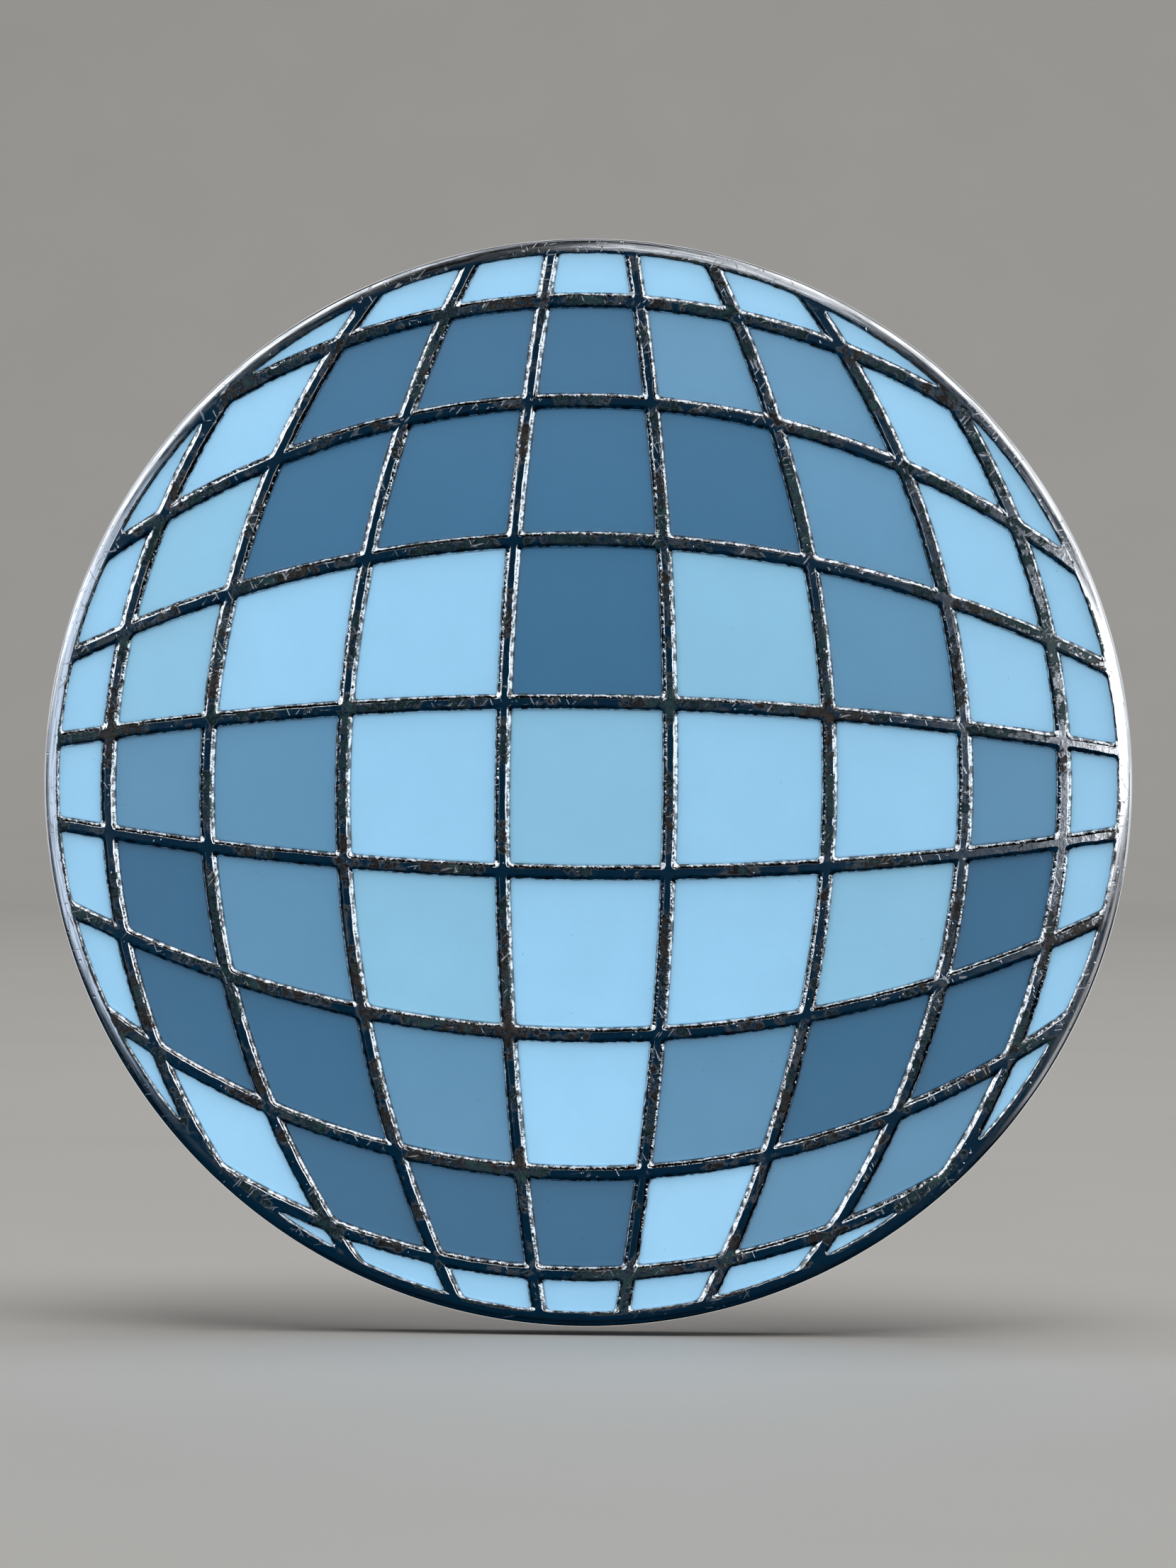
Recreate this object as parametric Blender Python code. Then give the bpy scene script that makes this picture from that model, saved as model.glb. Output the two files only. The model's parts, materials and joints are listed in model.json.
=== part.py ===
"""Round enamel pin badge with a mirror-ball grid, worn on cloth by two posts and butterfly clutches.

World frame: the back face of the badge lies in the plane y = 0 with the origin at its middle. The face
looks along -Y, the posts point along +Y, +Z is the top of the design and +X is its right-hand side.
"""

import math

import bmesh
import bpy
from mathutils import Matrix, Vector

MM = 0.001

# Badge disc, stamped in one piece with its walls
DISC_RADIUS = 19.0 * MM
DISC_THICKNESS = 1.6 * MM
BEVEL_WIDTH = 0.40 * MM
BEVEL_DROP = 0.50 * MM
BACK_BEVEL = 0.12 * MM
RIM_WIDTH = 0.53 * MM
WALL_WIDTH = 0.56 * MM
POCKET_DEPTH = 0.50 * MM

# Mirror-ball grid: each line is an arc that bows outward and would meet its neighbours at a far pole
LINES_EACH_WAY = 4
LINE_STEP = math.radians(18.0)
RIM_REACH = math.radians(70.0)
BALL_RADIUS_ACROSS = DISC_RADIUS - 0.27 * MM
BALL_RADIUS_UP = DISC_RADIUS + 0.08 * MM
POLE_OF_FIRST_LINE = DISC_RADIUS * 1.353
POLE_OF_LAST_LINE = DISC_RADIUS * 1.232
GRID_SHIFT_X = -0.07 * MM
GRID_SHIFT_UP = -0.16 * MM

# Enamel fills
ENAMEL_RECESS = 0.20 * MM
ENAMEL_GAP = 0.015 * MM

# Posts, soldered to the back
POST_SPACING = 20.0 * MM
POST_HEIGHT = 3.0 * MM
POST_RADIUS = 0.575 * MM
POST_LENGTH = 8.6 * MM
POST_TIP_LENGTH = 1.3 * MM
POST_TIP_RADIUS = 0.10 * MM
NOTCH_FROM_TIP = 2.2 * MM
NOTCH_LENGTH = 0.7 * MM
NOTCH_DEPTH = 0.14 * MM
FLANGE_RADIUS = 1.7 * MM
FLANGE_THICKNESS = 0.45 * MM
SOLDER_WIDTH = 0.55 * MM
SOLDER_HEIGHT = 0.30 * MM
SOLDER_HOLLOW = 0.35
SEAT_DEPTH = 0.10 * MM
SEAT_CLEARANCE = 0.02 * MM

# Clutches, at rest with the badge's cloth between them and the back face
CLOTH_GAP = 2.15 * MM
PLATE_RADIUS = 5.7 * MM
PLATE_THICKNESS = 0.40 * MM
PLATE_RIM_HEIGHT = 1.20 * MM
PLATE_RIM_WIDTH = 0.40 * MM
PLATE_ROUND = 0.15 * MM
BORE_CLEARANCE = 0.10 * MM
LEAF_THICKNESS = 0.35 * MM
JAW_GAP = 0.04 * MM
JAW_RISE = 0.55 * MM
JAW_HALF_WIDTH = 0.8 * MM
WAIST_HALF_WIDTH = 1.5 * MM
EAR_HALF_WIDTH = 2.7 * MM
EAR_REACH = 5.2 * MM
EAR_RISE = 4.9 * MM
EAR_LIFT = 0.65
FLARE_STARTS = 0.20
FLARE_ENDS = 0.60
EAR_CUT_OFF = 0.97
HINGE_OFFSET = 1.55 * MM
HINGE_RISE = 2.0 * MM
KNUCKLE_RADIUS = 0.42 * MM
TRUNNION_RADIUS = 0.28 * MM
HINGE_CLEARANCE = 0.05 * MM
LUG_THICKNESS = 0.40 * MM
LUG_SIDE_CLEARANCE = 0.08 * MM
LUG_MARGIN = 0.65 * MM

# Facets
DISC_SEGMENTS = 72
PLATE_SEGMENTS = 36
POST_SEGMENTS = 16
HINGE_SEGMENTS = 12
SIDE_STEPS = 2
BEVEL_STEPS = 3
EAR_STEPS = 6
WELD = 1e-7
SHARP_FROM = math.radians(35.0)

# One letter for each cell, top row first; a dot is a place with no cell
TONE_ROWS = (
    ".LLLLLLL.",
    "LLDDDMMLL",
    "LTDDDDMLL",
    "LTLLDTMLL",
    "LMMLTLLML",
    "LDMTLLTDL",
    "LDDMLMDDL",
    "LLDDDLMML",
    ".LLLLLLL.",
)
TONES = {
    "L": ("enamel_sky", (0.30, 0.60, 0.87)),
    "T": ("enamel_mist", (0.25, 0.52, 0.72)),
    "M": ("enamel_steel", (0.12, 0.27, 0.42)),
    "D": ("enamel_slate", (0.055, 0.145, 0.26)),
}

FACE_FORWARD = math.radians(90.0)
FACE_BACK = math.radians(-90.0)


def clear_scene():
    for obj in list(bpy.data.objects):
        bpy.data.objects.remove(obj, do_unlink=True)


def make_material(name, colour, roughness, metallic):
    material = bpy.data.materials.new(name)
    material.use_nodes = True
    shader = material.node_tree.nodes["Principled BSDF"]
    shader.inputs["Base Color"].default_value = (*colour, 1.0)
    shader.inputs["Roughness"].default_value = roughness
    shader.inputs["Metallic"].default_value = metallic
    return material


def add_object(name, bm, material=None):
    """Turns a bmesh into a named object, with its faces pointing out and its round sides shaded smooth."""
    bmesh.ops.recalc_face_normals(bm, faces=bm.faces)
    mesh = bpy.data.meshes.new(name)
    bm.to_mesh(mesh)
    bm.free()
    mesh.shade_smooth()
    mesh.set_sharp_from_angle(angle=SHARP_FROM)
    if material:
        mesh.materials.append(material)
    obj = bpy.data.objects.new(name, mesh)
    bpy.context.scene.collection.objects.link(obj)
    return obj


def place(obj, location=(0.0, 0.0, 0.0), turn_x=0.0, parent=None):
    obj.location = location
    obj.rotation_euler = (turn_x, 0.0, 0.0)
    obj.parent = parent
    return obj


def hide_helper(obj):
    obj.hide_render = True
    obj.display_type = "WIRE"


def boolean(obj, other, operation):
    modifier = obj.modifiers.new(other.name, "BOOLEAN")
    modifier.operation = operation
    modifier.object = other
    modifier.solver = "EXACT"
    hide_helper(other)


def turned(bm, profile, segments, closed=False):
    """Spins (radius, height) points about local Z: a closed loop makes a ring, an open one is capped."""
    points = [bm.verts.new((radius, 0.0, height)) for radius, height in profile]
    pairs = list(zip(points, points[1:]))
    if closed:
        pairs.append((points[-1], points[0]))
    edges = [bm.edges.new(pair) for pair in pairs]
    bmesh.ops.spin(
        bm, geom=points + edges, axis=(0, 0, 1), cent=(0, 0, 0), angle=math.tau, steps=segments
    )
    bmesh.ops.remove_doubles(bm, verts=bm.verts, dist=WELD)
    if not closed:
        bmesh.ops.holes_fill(bm, edges=[edge for edge in bm.edges if edge.is_boundary])
    return bm


def oval_edge(radius, top, width, drop):
    """Profile points of an edge rounded to a quarter of an ellipse, from the side up to the flat top."""
    angles = [math.radians(90.0) * step / BEVEL_STEPS for step in range(BEVEL_STEPS + 1)]
    return [
        (radius - width * (1 - math.cos(a)), top - drop * (1 - math.sin(a))) for a in angles
    ]


def prism(bm, outline, low, high):
    """Adds an outline in local X and Y, extruded from low to high along local Z."""
    face = bm.faces.new([bm.verts.new((x, y, low)) for x, y in outline])
    grown = bmesh.ops.extrude_face_region(bm, geom=[face])
    moved = [item for item in grown["geom"] if isinstance(item, bmesh.types.BMVert)]
    bmesh.ops.translate(bm, verts=moved, vec=(0.0, 0.0, high - low))


def bar(bm, radius, length, centre, axis_turn):
    """Adds a round bar of HINGE_SEGMENTS sides, turned from local Z by the given matrix."""
    matrix = Matrix.Translation(Vector(centre)) @ axis_turn
    bmesh.ops.create_cone(
        bm, cap_ends=True, segments=HINGE_SEGMENTS, radius1=radius, radius2=radius,
        depth=length, matrix=matrix,
    )


# Mirror-ball grid


def line_circle(across, number, side):
    """Centre and radius of one edge of a grid line; number runs -5..5 without 0, and 5 is the rim."""
    order = abs(number)
    if order > LINES_EACH_WAY:
        return 0.0, 0.0, DISC_RADIUS - RIM_WIDTH
    ball_radius = BALL_RADIUS_ACROSS if across else BALL_RADIUS_UP
    offset = ball_radius * math.sin(LINE_STEP * (order - 0.5))
    share = (order - 1) / (LINES_EACH_WAY - 1)
    pole = POLE_OF_FIRST_LINE + (POLE_OF_LAST_LINE - POLE_OF_FIRST_LINE) * share
    radius = (offset**2 + pole**2) / (2 * offset)
    centre = (offset - radius) * (1 if number > 0 else -1)
    edge = radius + side * WALL_WIDTH / 2
    if across:
        return GRID_SHIFT_X + centre, GRID_SHIFT_UP, edge
    return GRID_SHIFT_X, GRID_SHIFT_UP + centre, edge


def crossing(one, other, towards):
    """The point where two circles cross, the nearer one of the two to a given direction from the middle."""
    (x0, y0, r0), (x1, y1, r1) = one, other
    apart = math.hypot(x1 - x0, y1 - y0)
    along = (apart**2 + r0**2 - r1**2) / (2 * apart)
    aside = math.sqrt(max(r0**2 - along**2, 0.0))
    ux, uy = (x1 - x0) / apart, (y1 - y0) / apart
    found = [
        (x0 + along * ux - turn * aside * uy, y0 + along * uy + turn * aside * ux)
        for turn in (1, -1)
    ]
    return min(found, key=lambda point: math.dist(point, towards))


def arc_points(circle, start, end):
    """Points from start up to, but not at, the end, on the circle's shorter way round."""
    x, y, radius = circle
    first = math.atan2(start[1] - y, start[0] - x)
    last = math.atan2(end[1] - y, end[0] - x)
    turn = (last - first + math.pi) % math.tau - math.pi
    angles = [first + turn * step / SIDE_STEPS for step in range(SIDE_STEPS)]
    return [(x + radius * math.cos(a), y + radius * math.sin(a)) for a in angles]


def cell_outline(column, row, inset=0.0):
    """Outline of the cell in a column and row, each counted from -4 to 4 about the middle one."""

    def bounding_lines(index):
        return (index - 1 if index <= 0 else index), (index if index < 0 else index + 1)

    def edge(across, number, is_low):
        side = 1 if (number > 0) == is_low else -1
        x, y, radius = line_circle(across, number, side)
        return [x, y, radius + side * inset]

    def guess(number):
        reach = min(LINE_STEP * (abs(number) - 0.5), RIM_REACH)
        return math.copysign(DISC_RADIUS * math.sin(reach), number)

    left, right = bounding_lines(column)
    bottom, top = bounding_lines(row)
    sides = {
        "left": edge(True, left, True),
        "right": edge(True, right, False),
        "bottom": edge(False, bottom, True),
        "top": edge(False, top, False),
    }
    # Beside the missing corners the outermost wall runs into the rim, so that side shrinks to a tip
    tip = None
    if (abs(column), abs(row)) == (3, 4):
        tip = "left" if column < 0 else "right"
    if (abs(column), abs(row)) == (4, 3):
        tip = "bottom" if row < 0 else "top"

    def corner(across_side, up_side, across_line, up_line):
        towards = Vector((guess(across_line), guess(up_line)))
        towards *= min(1.0, DISC_RADIUS / towards.length)
        if tip == across_side:
            return crossing(sides["bottom"], sides["top"], towards)
        if tip == up_side:
            return crossing(sides["left"], sides["right"], towards)
        return crossing(sides[across_side], sides[up_side], towards)

    corners = [
        corner("left", "bottom", left, bottom),
        corner("right", "bottom", right, bottom),
        corner("right", "top", right, top),
        corner("left", "top", left, top),
    ]
    ways_round = ("bottom", "right", "top", "left")
    outline = []
    for way, start, end in zip(ways_round, corners, corners[1:] + corners[:1]):
        if way != tip:
            outline += arc_points(sides[way], start, end)
    return outline


def cells():
    """(column, row, tone letter, name) of every cell; names count rows and columns from the top left."""
    for row_number, letters in enumerate(TONE_ROWS):
        for column_number, letter in enumerate(letters):
            if letter != ".":
                name = f"enamel_r{row_number + 1}c{column_number + 1}"
                yield column_number - 4, 4 - row_number, letter, name


def post_places():
    return {"left": -POST_SPACING / 2, "right": POST_SPACING / 2}


# Badge pieces


def make_base_plate(material):
    """Stamped disc: rounded rim, pockets between the walls in front, two shallow solder seats behind."""
    profile = [(DISC_RADIUS - BACK_BEVEL, 0.0), (DISC_RADIUS, BACK_BEVEL)]
    profile += oval_edge(DISC_RADIUS, DISC_THICKNESS, BEVEL_WIDTH, BEVEL_DROP)
    base = add_object("base_plate", turned(bmesh.new(), profile, DISC_SEGMENTS), material)
    place(base, turn_x=FACE_FORWARD)

    pockets = bmesh.new()
    floor = DISC_THICKNESS - POCKET_DEPTH
    for column, row, _, _ in cells():
        prism(pockets, cell_outline(column, row), floor, DISC_THICKNESS + POCKET_DEPTH)
    boolean(base, place(add_object("pocket_cutter", pockets), turn_x=FACE_FORWARD), "DIFFERENCE")

    seat_radius = FLANGE_RADIUS + SOLDER_WIDTH + 2 * SEAT_CLEARANCE
    for side, x in post_places().items():
        seat = turned(
            bmesh.new(), [(seat_radius, -SEAT_DEPTH), (seat_radius, SEAT_DEPTH)], PLATE_SEGMENTS
        )
        cutter = add_object(f"seat_cutter_{side}", seat)
        place(cutter, (x, 0.0, POST_HEIGHT), FACE_BACK)
        boolean(base, cutter, "DIFFERENCE")


def make_enamel(materials):
    """One fill for each full cell; the slivers around the rim are left as empty pockets."""
    low = DISC_THICKNESS - POCKET_DEPTH + ENAMEL_GAP
    high = DISC_THICKNESS - ENAMEL_RECESS
    for column, row, letter, name in cells():
        if max(abs(column), abs(row)) == LINES_EACH_WAY:
            continue
        fill = bmesh.new()
        prism(fill, cell_outline(column, row, ENAMEL_GAP), low, high)
        place(add_object(name, fill, materials[letter]), turn_x=FACE_FORWARD)


def make_post(side, x, material, solder_material):
    """Pointed post with a grip notch and a flange, and the ring of solder around the flange."""
    foot = -SEAT_DEPTH + SEAT_CLEARANCE
    flange_top = foot + FLANGE_THICKNESS
    notch_end = POST_LENGTH - NOTCH_FROM_TIP
    notch_start = notch_end - NOTCH_LENGTH
    profile = [
        (FLANGE_RADIUS, foot),
        (FLANGE_RADIUS, flange_top),
        (POST_RADIUS, flange_top),
        (POST_RADIUS, notch_start),
        (POST_RADIUS - NOTCH_DEPTH, notch_start + NOTCH_DEPTH),
        (POST_RADIUS - NOTCH_DEPTH, notch_end - NOTCH_DEPTH),
        (POST_RADIUS, notch_end),
        (POST_RADIUS, POST_LENGTH - POST_TIP_LENGTH),
        (POST_TIP_RADIUS, POST_LENGTH),
    ]
    post = add_object(f"post_{side}", turned(bmesh.new(), profile, POST_SEGMENTS), material)
    place(post, (x, 0.0, POST_HEIGHT), FACE_BACK)

    inner = FLANGE_RADIUS + SEAT_CLEARANCE
    outer = inner + SOLDER_WIDTH
    fillet = [
        (outer, foot),
        (inner + SOLDER_WIDTH * SOLDER_HOLLOW, foot + SOLDER_HEIGHT * SOLDER_HOLLOW),
        (inner, foot + SOLDER_HEIGHT),
        (inner, foot),
    ]
    ring = turned(bmesh.new(), fillet, POST_SEGMENTS, closed=True)
    place(add_object(f"solder_{side}", ring, solder_material), (x, 0.0, POST_HEIGHT), FACE_BACK)


# Clutch pieces; local Z points away from the cloth and starts at the plate's cloth side


def lug_inner():
    return WAIST_HALF_WIDTH + LUG_SIDE_CLEARANCE


def hinge_height():
    return PLATE_THICKNESS + HINGE_RISE


def make_clutch_plate(name, material):
    """Dished plate with a turned-up rim, a bore for the post and two lugs that carry the wings."""
    bore = POST_RADIUS + BORE_CLEARANCE
    rim = PLATE_RADIUS
    inside = rim - PLATE_RIM_WIDTH
    profile = [
        (bore, 0.0),
        (rim - PLATE_ROUND, 0.0),
        (rim, PLATE_ROUND),
        (rim, PLATE_RIM_HEIGHT - PLATE_ROUND),
        (rim - PLATE_RIM_WIDTH / 2, PLATE_RIM_HEIGHT),
        (inside, PLATE_RIM_HEIGHT - PLATE_ROUND),
        (inside, PLATE_THICKNESS + PLATE_ROUND),
        (inside - PLATE_ROUND, PLATE_THICKNESS),
        (bore, PLATE_THICKNESS),
    ]
    plate = add_object(name, turned(bmesh.new(), profile, PLATE_SEGMENTS, closed=True), material)

    lugs = bmesh.new()
    half_span = HINGE_OFFSET + LUG_MARGIN
    top = hinge_height() + LUG_MARGIN
    shoulder = LUG_MARGIN
    outline = [
        (-half_span, PLATE_THICKNESS / 2),
        (half_span, PLATE_THICKNESS / 2),
        (half_span, top - shoulder),
        (half_span - shoulder, top),
        (-half_span + shoulder, top),
        (-half_span, top - shoulder),
    ]
    for low in (lug_inner(), -lug_inner() - LUG_THICKNESS):
        prism(lugs, outline, low, low + LUG_THICKNESS)
    # The outline was drawn in X and Y: stand it up so that its Y runs along the clutch's Z
    bmesh.ops.rotate(lugs, verts=lugs.verts, matrix=Matrix.Rotation(math.radians(90.0), 3, "X"))
    lug_tool = add_object(f"{name}_lugs", lugs)

    holes = bmesh.new()
    length = 2 * (lug_inner() + 2 * LUG_THICKNESS)
    along_y = Matrix.Rotation(math.radians(90.0), 4, "X")
    for side in (-1, 1):
        centre = (side * HINGE_OFFSET, 0.0, hinge_height())
        bar(holes, TRUNNION_RADIUS + HINGE_CLEARANCE, length, centre, along_y)
    hole_tool = add_object(f"{name}_hinge_holes", holes)

    boolean(plate, lug_tool, "UNION")
    boolean(plate, hole_tool, "DIFFERENCE")
    return plate, (lug_tool, hole_tool)


def ear_half_width(share):
    """Half width at a share of the ear's length: it flares from the waist, then closes in a round end."""
    if share > FLARE_ENDS:
        return EAR_HALF_WIDTH * math.sqrt(1 - ((share - FLARE_ENDS) / (1 - FLARE_ENDS)) ** 2)
    flare = max(share - FLARE_STARTS, 0.0) / (FLARE_ENDS - FLARE_STARTS)
    spread = math.sin(math.radians(90.0) * flare) ** 2
    return WAIST_HALF_WIDTH + (EAR_HALF_WIDTH - WAIST_HALF_WIDTH) * spread


def wing_stations(side):
    """(x, z, half width) along the middle of the leaf, from the jaw past the hinge to the ear's tip."""
    jaw_x = POST_RADIUS + JAW_GAP + LEAF_THICKNESS / 2
    jaw_top = JAW_RISE + LEAF_THICKNESS
    middle_half = (JAW_HALF_WIDTH + WAIST_HALF_WIDTH) / 2
    stations = [
        (jaw_x, JAW_RISE, JAW_HALF_WIDTH),
        (jaw_x, jaw_top, JAW_HALF_WIDTH),
        ((jaw_x + HINGE_OFFSET) / 2, (jaw_top + HINGE_RISE) / 2, middle_half),
        (HINGE_OFFSET, HINGE_RISE, WAIST_HALF_WIDTH),
    ]
    for step in range(1, EAR_STEPS + 1):
        share = EAR_CUT_OFF * step / EAR_STEPS
        lift = EAR_LIFT * share + (1 - EAR_LIFT) * share**2
        x = HINGE_OFFSET + (EAR_REACH - HINGE_OFFSET) * share
        z = HINGE_RISE + (EAR_RISE - HINGE_RISE) * lift
        stations.append((x, z, ear_half_width(share)))
    return [(side * x, PLATE_THICKNESS + z, half) for x, z, half in stations]


def make_wing(name, side, material):
    """Bent spring leaf with a knuckle and trunnions, built around its hinge axis."""
    hinge = Vector((side * HINGE_OFFSET, 0.0, hinge_height()))
    stations = wing_stations(side)
    points = [Vector((x, 0.0, z)) - hinge for x, z, _ in stations]
    leaf = bmesh.new()
    rings = []
    for index, (point, (_, _, half)) in enumerate(zip(points, stations)):
        before = points[max(index - 1, 0)]
        after = points[min(index + 1, len(points) - 1)]
        along = (after - before).normalized()
        out = Vector((along.z, 0.0, -along.x)) * (LEAF_THICKNESS / 2)
        across = Vector((0.0, half, 0.0))
        corners = (out - across, out + across, across - out, -out - across)
        rings.append([leaf.verts.new(point + corner) for corner in corners])
    for ring, following in zip(rings, rings[1:]):
        for first in range(4):
            second = (first + 1) % 4
            leaf.faces.new((ring[first], ring[second], following[second], following[first]))
    leaf.faces.new(rings[0])
    leaf.faces.new(rings[-1])
    wing = add_object(name, leaf, material)

    along_y = Matrix.Rotation(math.radians(90.0), 4, "X")
    knuckle = bmesh.new()
    bar(knuckle, KNUCKLE_RADIUS, 2 * WAIST_HALF_WIDTH, (0.0, 0.0, 0.0), along_y)
    trunnion = bmesh.new()
    bar(trunnion, TRUNNION_RADIUS, 2 * (lug_inner() + LUG_THICKNESS), (0.0, 0.0, 0.0), along_y)
    tools = (add_object(f"{name}_knuckle", knuckle), add_object(f"{name}_trunnion", trunnion))
    for tool in tools:
        boolean(wing, tool, "UNION")
    place(wing, hinge)
    return wing, tools


def make_clutch(side, x, plate_material, wing_material):
    """A clutch on its post: an empty carries the plate and both wings, and slides along the post's axis."""
    carrier = bpy.data.objects.new(f"clutch_{side}", None)
    bpy.context.scene.collection.objects.link(carrier)
    place(carrier, (x, CLOTH_GAP, POST_HEIGHT), FACE_BACK)
    plate, plate_tools = make_clutch_plate(f"clutch_{side}_plate", plate_material)
    for obj in (plate, *plate_tools):
        place(obj, parent=carrier)
    for wing_side, word in ((-1, "left"), (1, "right")):
        name = f"clutch_{side}_wing_{word}"
        wing, wing_tools = make_wing(name, wing_side, wing_material)
        wing.parent = carrier
        for tool in wing_tools:
            place(tool, parent=wing)


def main():
    clear_scene()
    nickel = make_material("polished_nickel", (0.60, 0.61, 0.62), 0.18, 1.0)
    post_metal = make_material("post_nickel", (0.58, 0.57, 0.55), 0.28, 1.0)
    solder = make_material("solder", (0.45, 0.45, 0.46), 0.45, 1.0)
    clutch_metal = make_material("clutch_nickel", (0.62, 0.60, 0.56), 0.26, 1.0)
    spring_metal = make_material("spring_nickel", (0.66, 0.65, 0.62), 0.22, 1.0)
    enamels = {
        letter: make_material(name, colour, 0.32, 0.0) for letter, (name, colour) in TONES.items()
    }
    make_base_plate(nickel)
    make_enamel(enamels)
    for side, x in post_places().items():
        make_post(side, x, post_metal, solder)
        make_clutch(side, x, clutch_metal, spring_metal)


main()
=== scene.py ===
import json
import math

import bmesh
import bpy
from bpy.props import FloatProperty, FloatVectorProperty, IntProperty, PointerProperty
from mathutils import Matrix, Vector, noise
from mathutils.geometry import tessellate_polygon

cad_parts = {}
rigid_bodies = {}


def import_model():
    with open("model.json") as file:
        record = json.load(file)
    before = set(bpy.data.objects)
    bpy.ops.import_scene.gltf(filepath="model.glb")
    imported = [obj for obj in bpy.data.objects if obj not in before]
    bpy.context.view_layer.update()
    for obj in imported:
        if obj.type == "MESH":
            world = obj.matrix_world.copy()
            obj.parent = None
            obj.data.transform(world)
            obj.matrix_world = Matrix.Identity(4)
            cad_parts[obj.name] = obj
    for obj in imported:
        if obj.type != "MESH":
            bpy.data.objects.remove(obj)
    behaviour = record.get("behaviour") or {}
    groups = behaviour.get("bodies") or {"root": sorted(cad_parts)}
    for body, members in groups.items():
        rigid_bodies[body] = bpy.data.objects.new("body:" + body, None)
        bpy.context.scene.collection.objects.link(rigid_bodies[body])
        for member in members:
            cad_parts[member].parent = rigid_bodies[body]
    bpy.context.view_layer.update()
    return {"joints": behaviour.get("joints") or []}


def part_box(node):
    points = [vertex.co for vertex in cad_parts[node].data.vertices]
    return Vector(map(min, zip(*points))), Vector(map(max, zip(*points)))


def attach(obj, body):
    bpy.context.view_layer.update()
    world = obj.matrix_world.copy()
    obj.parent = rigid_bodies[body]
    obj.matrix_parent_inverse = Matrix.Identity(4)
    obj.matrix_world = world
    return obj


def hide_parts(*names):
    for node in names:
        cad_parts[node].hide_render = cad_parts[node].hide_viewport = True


bl_info = {
    "name": "Mirror-Ball Pin Badge",
    "version": (1, 0, 0),
    "blender": (4, 5, 0),
    "location": "3D View > Sidebar > Pin Badge",
    "description": "Builds a round enamel pin badge with its posts, clutches and studio",
    "category": "Object",
}

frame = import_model()

MM = 0.001
DISC_LOW, DISC_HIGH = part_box("base_plate")
ENAMEL_TOP = -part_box("enamel_r5c5")[0].y
JOINTS = {joint["name"]: joint for joint in frame["joints"]}
SIDES = ("left", "right")
LINES_EACH_WAY = 4
TONE_ROWS = (
    ".LLLLLLL.",
    "LLDDDMMLL",
    "LTDDDDMLL",
    "LTLLDTMLL",
    "LMMLTLLML",
    "LDMTLLTDL",
    "LDDMLMDDL",
    "LLDDDLMML",
    ".LLLLLLL.",
)
TONE_NAMES = {"L": "sky", "T": "mist", "M": "steel", "D": "slate"}
# Painted reflection: how far each enamel is painted lighter towards the top and darker towards the foot, in
# place of a sheen of sky on its upper half
SHEEN_PAINTED_BY_TONE = {"sky": 0.0, "mist": 0.03, "steel": 0.06, "slate": 0.08}


def length(name, description, millimetres):
    return FloatProperty(
        name=name, description=description, default=millimetres * MM, min=0.0, subtype="DISTANCE",
        unit="LENGTH", precision=5,
    )


def offset(name, description, millimetres):
    return FloatProperty(
        name=name, description=description, default=millimetres * MM, subtype="DISTANCE",
        unit="LENGTH", precision=5,
    )


def ratio(name, description, value):
    return FloatProperty(name=name, description=description, default=value, min=0.0)


def angle(name, description, degrees):
    return FloatProperty(
        name=name, description=description, default=math.radians(degrees), subtype="ANGLE", unit="ROTATION"
    )


def count(name, description, value):
    return IntProperty(name=name, description=description, default=value, min=1)


def colour(name, description, value):
    return FloatVectorProperty(
        name=name, description=description, default=value, size=3, min=0.0, max=1.0, subtype="COLOR"
    )


class PinBadgeGrid(bpy.types.PropertyGroup):
    """Arcs of the mirror-ball grid, which bow outward and would meet at far poles"""

    ball_radius_across: length("Ball Radius Across", "Radius that spaces the upright lines", 18.73)
    ball_radius_up: length("Ball Radius Up", "Radius that spaces the level lines", 19.08)
    pole_of_first_line: length("First Pole", "How far out the innermost arcs would meet", 25.707)
    pole_of_last_line: length("Last Pole", "How far out the outermost arcs would meet", 23.408)
    shift_x: offset("Shift X", "Grid centre, to the right of the disc's", -0.07)
    shift_up: offset("Shift Up", "Grid centre, above the disc's", -0.16)
    line_step: angle("Line Step", "Turn of the ball from one line to the next", 18.0)
    rim_reach: angle("Rim Reach", "Turn of the ball from its middle to the rim", 70.0)


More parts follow.
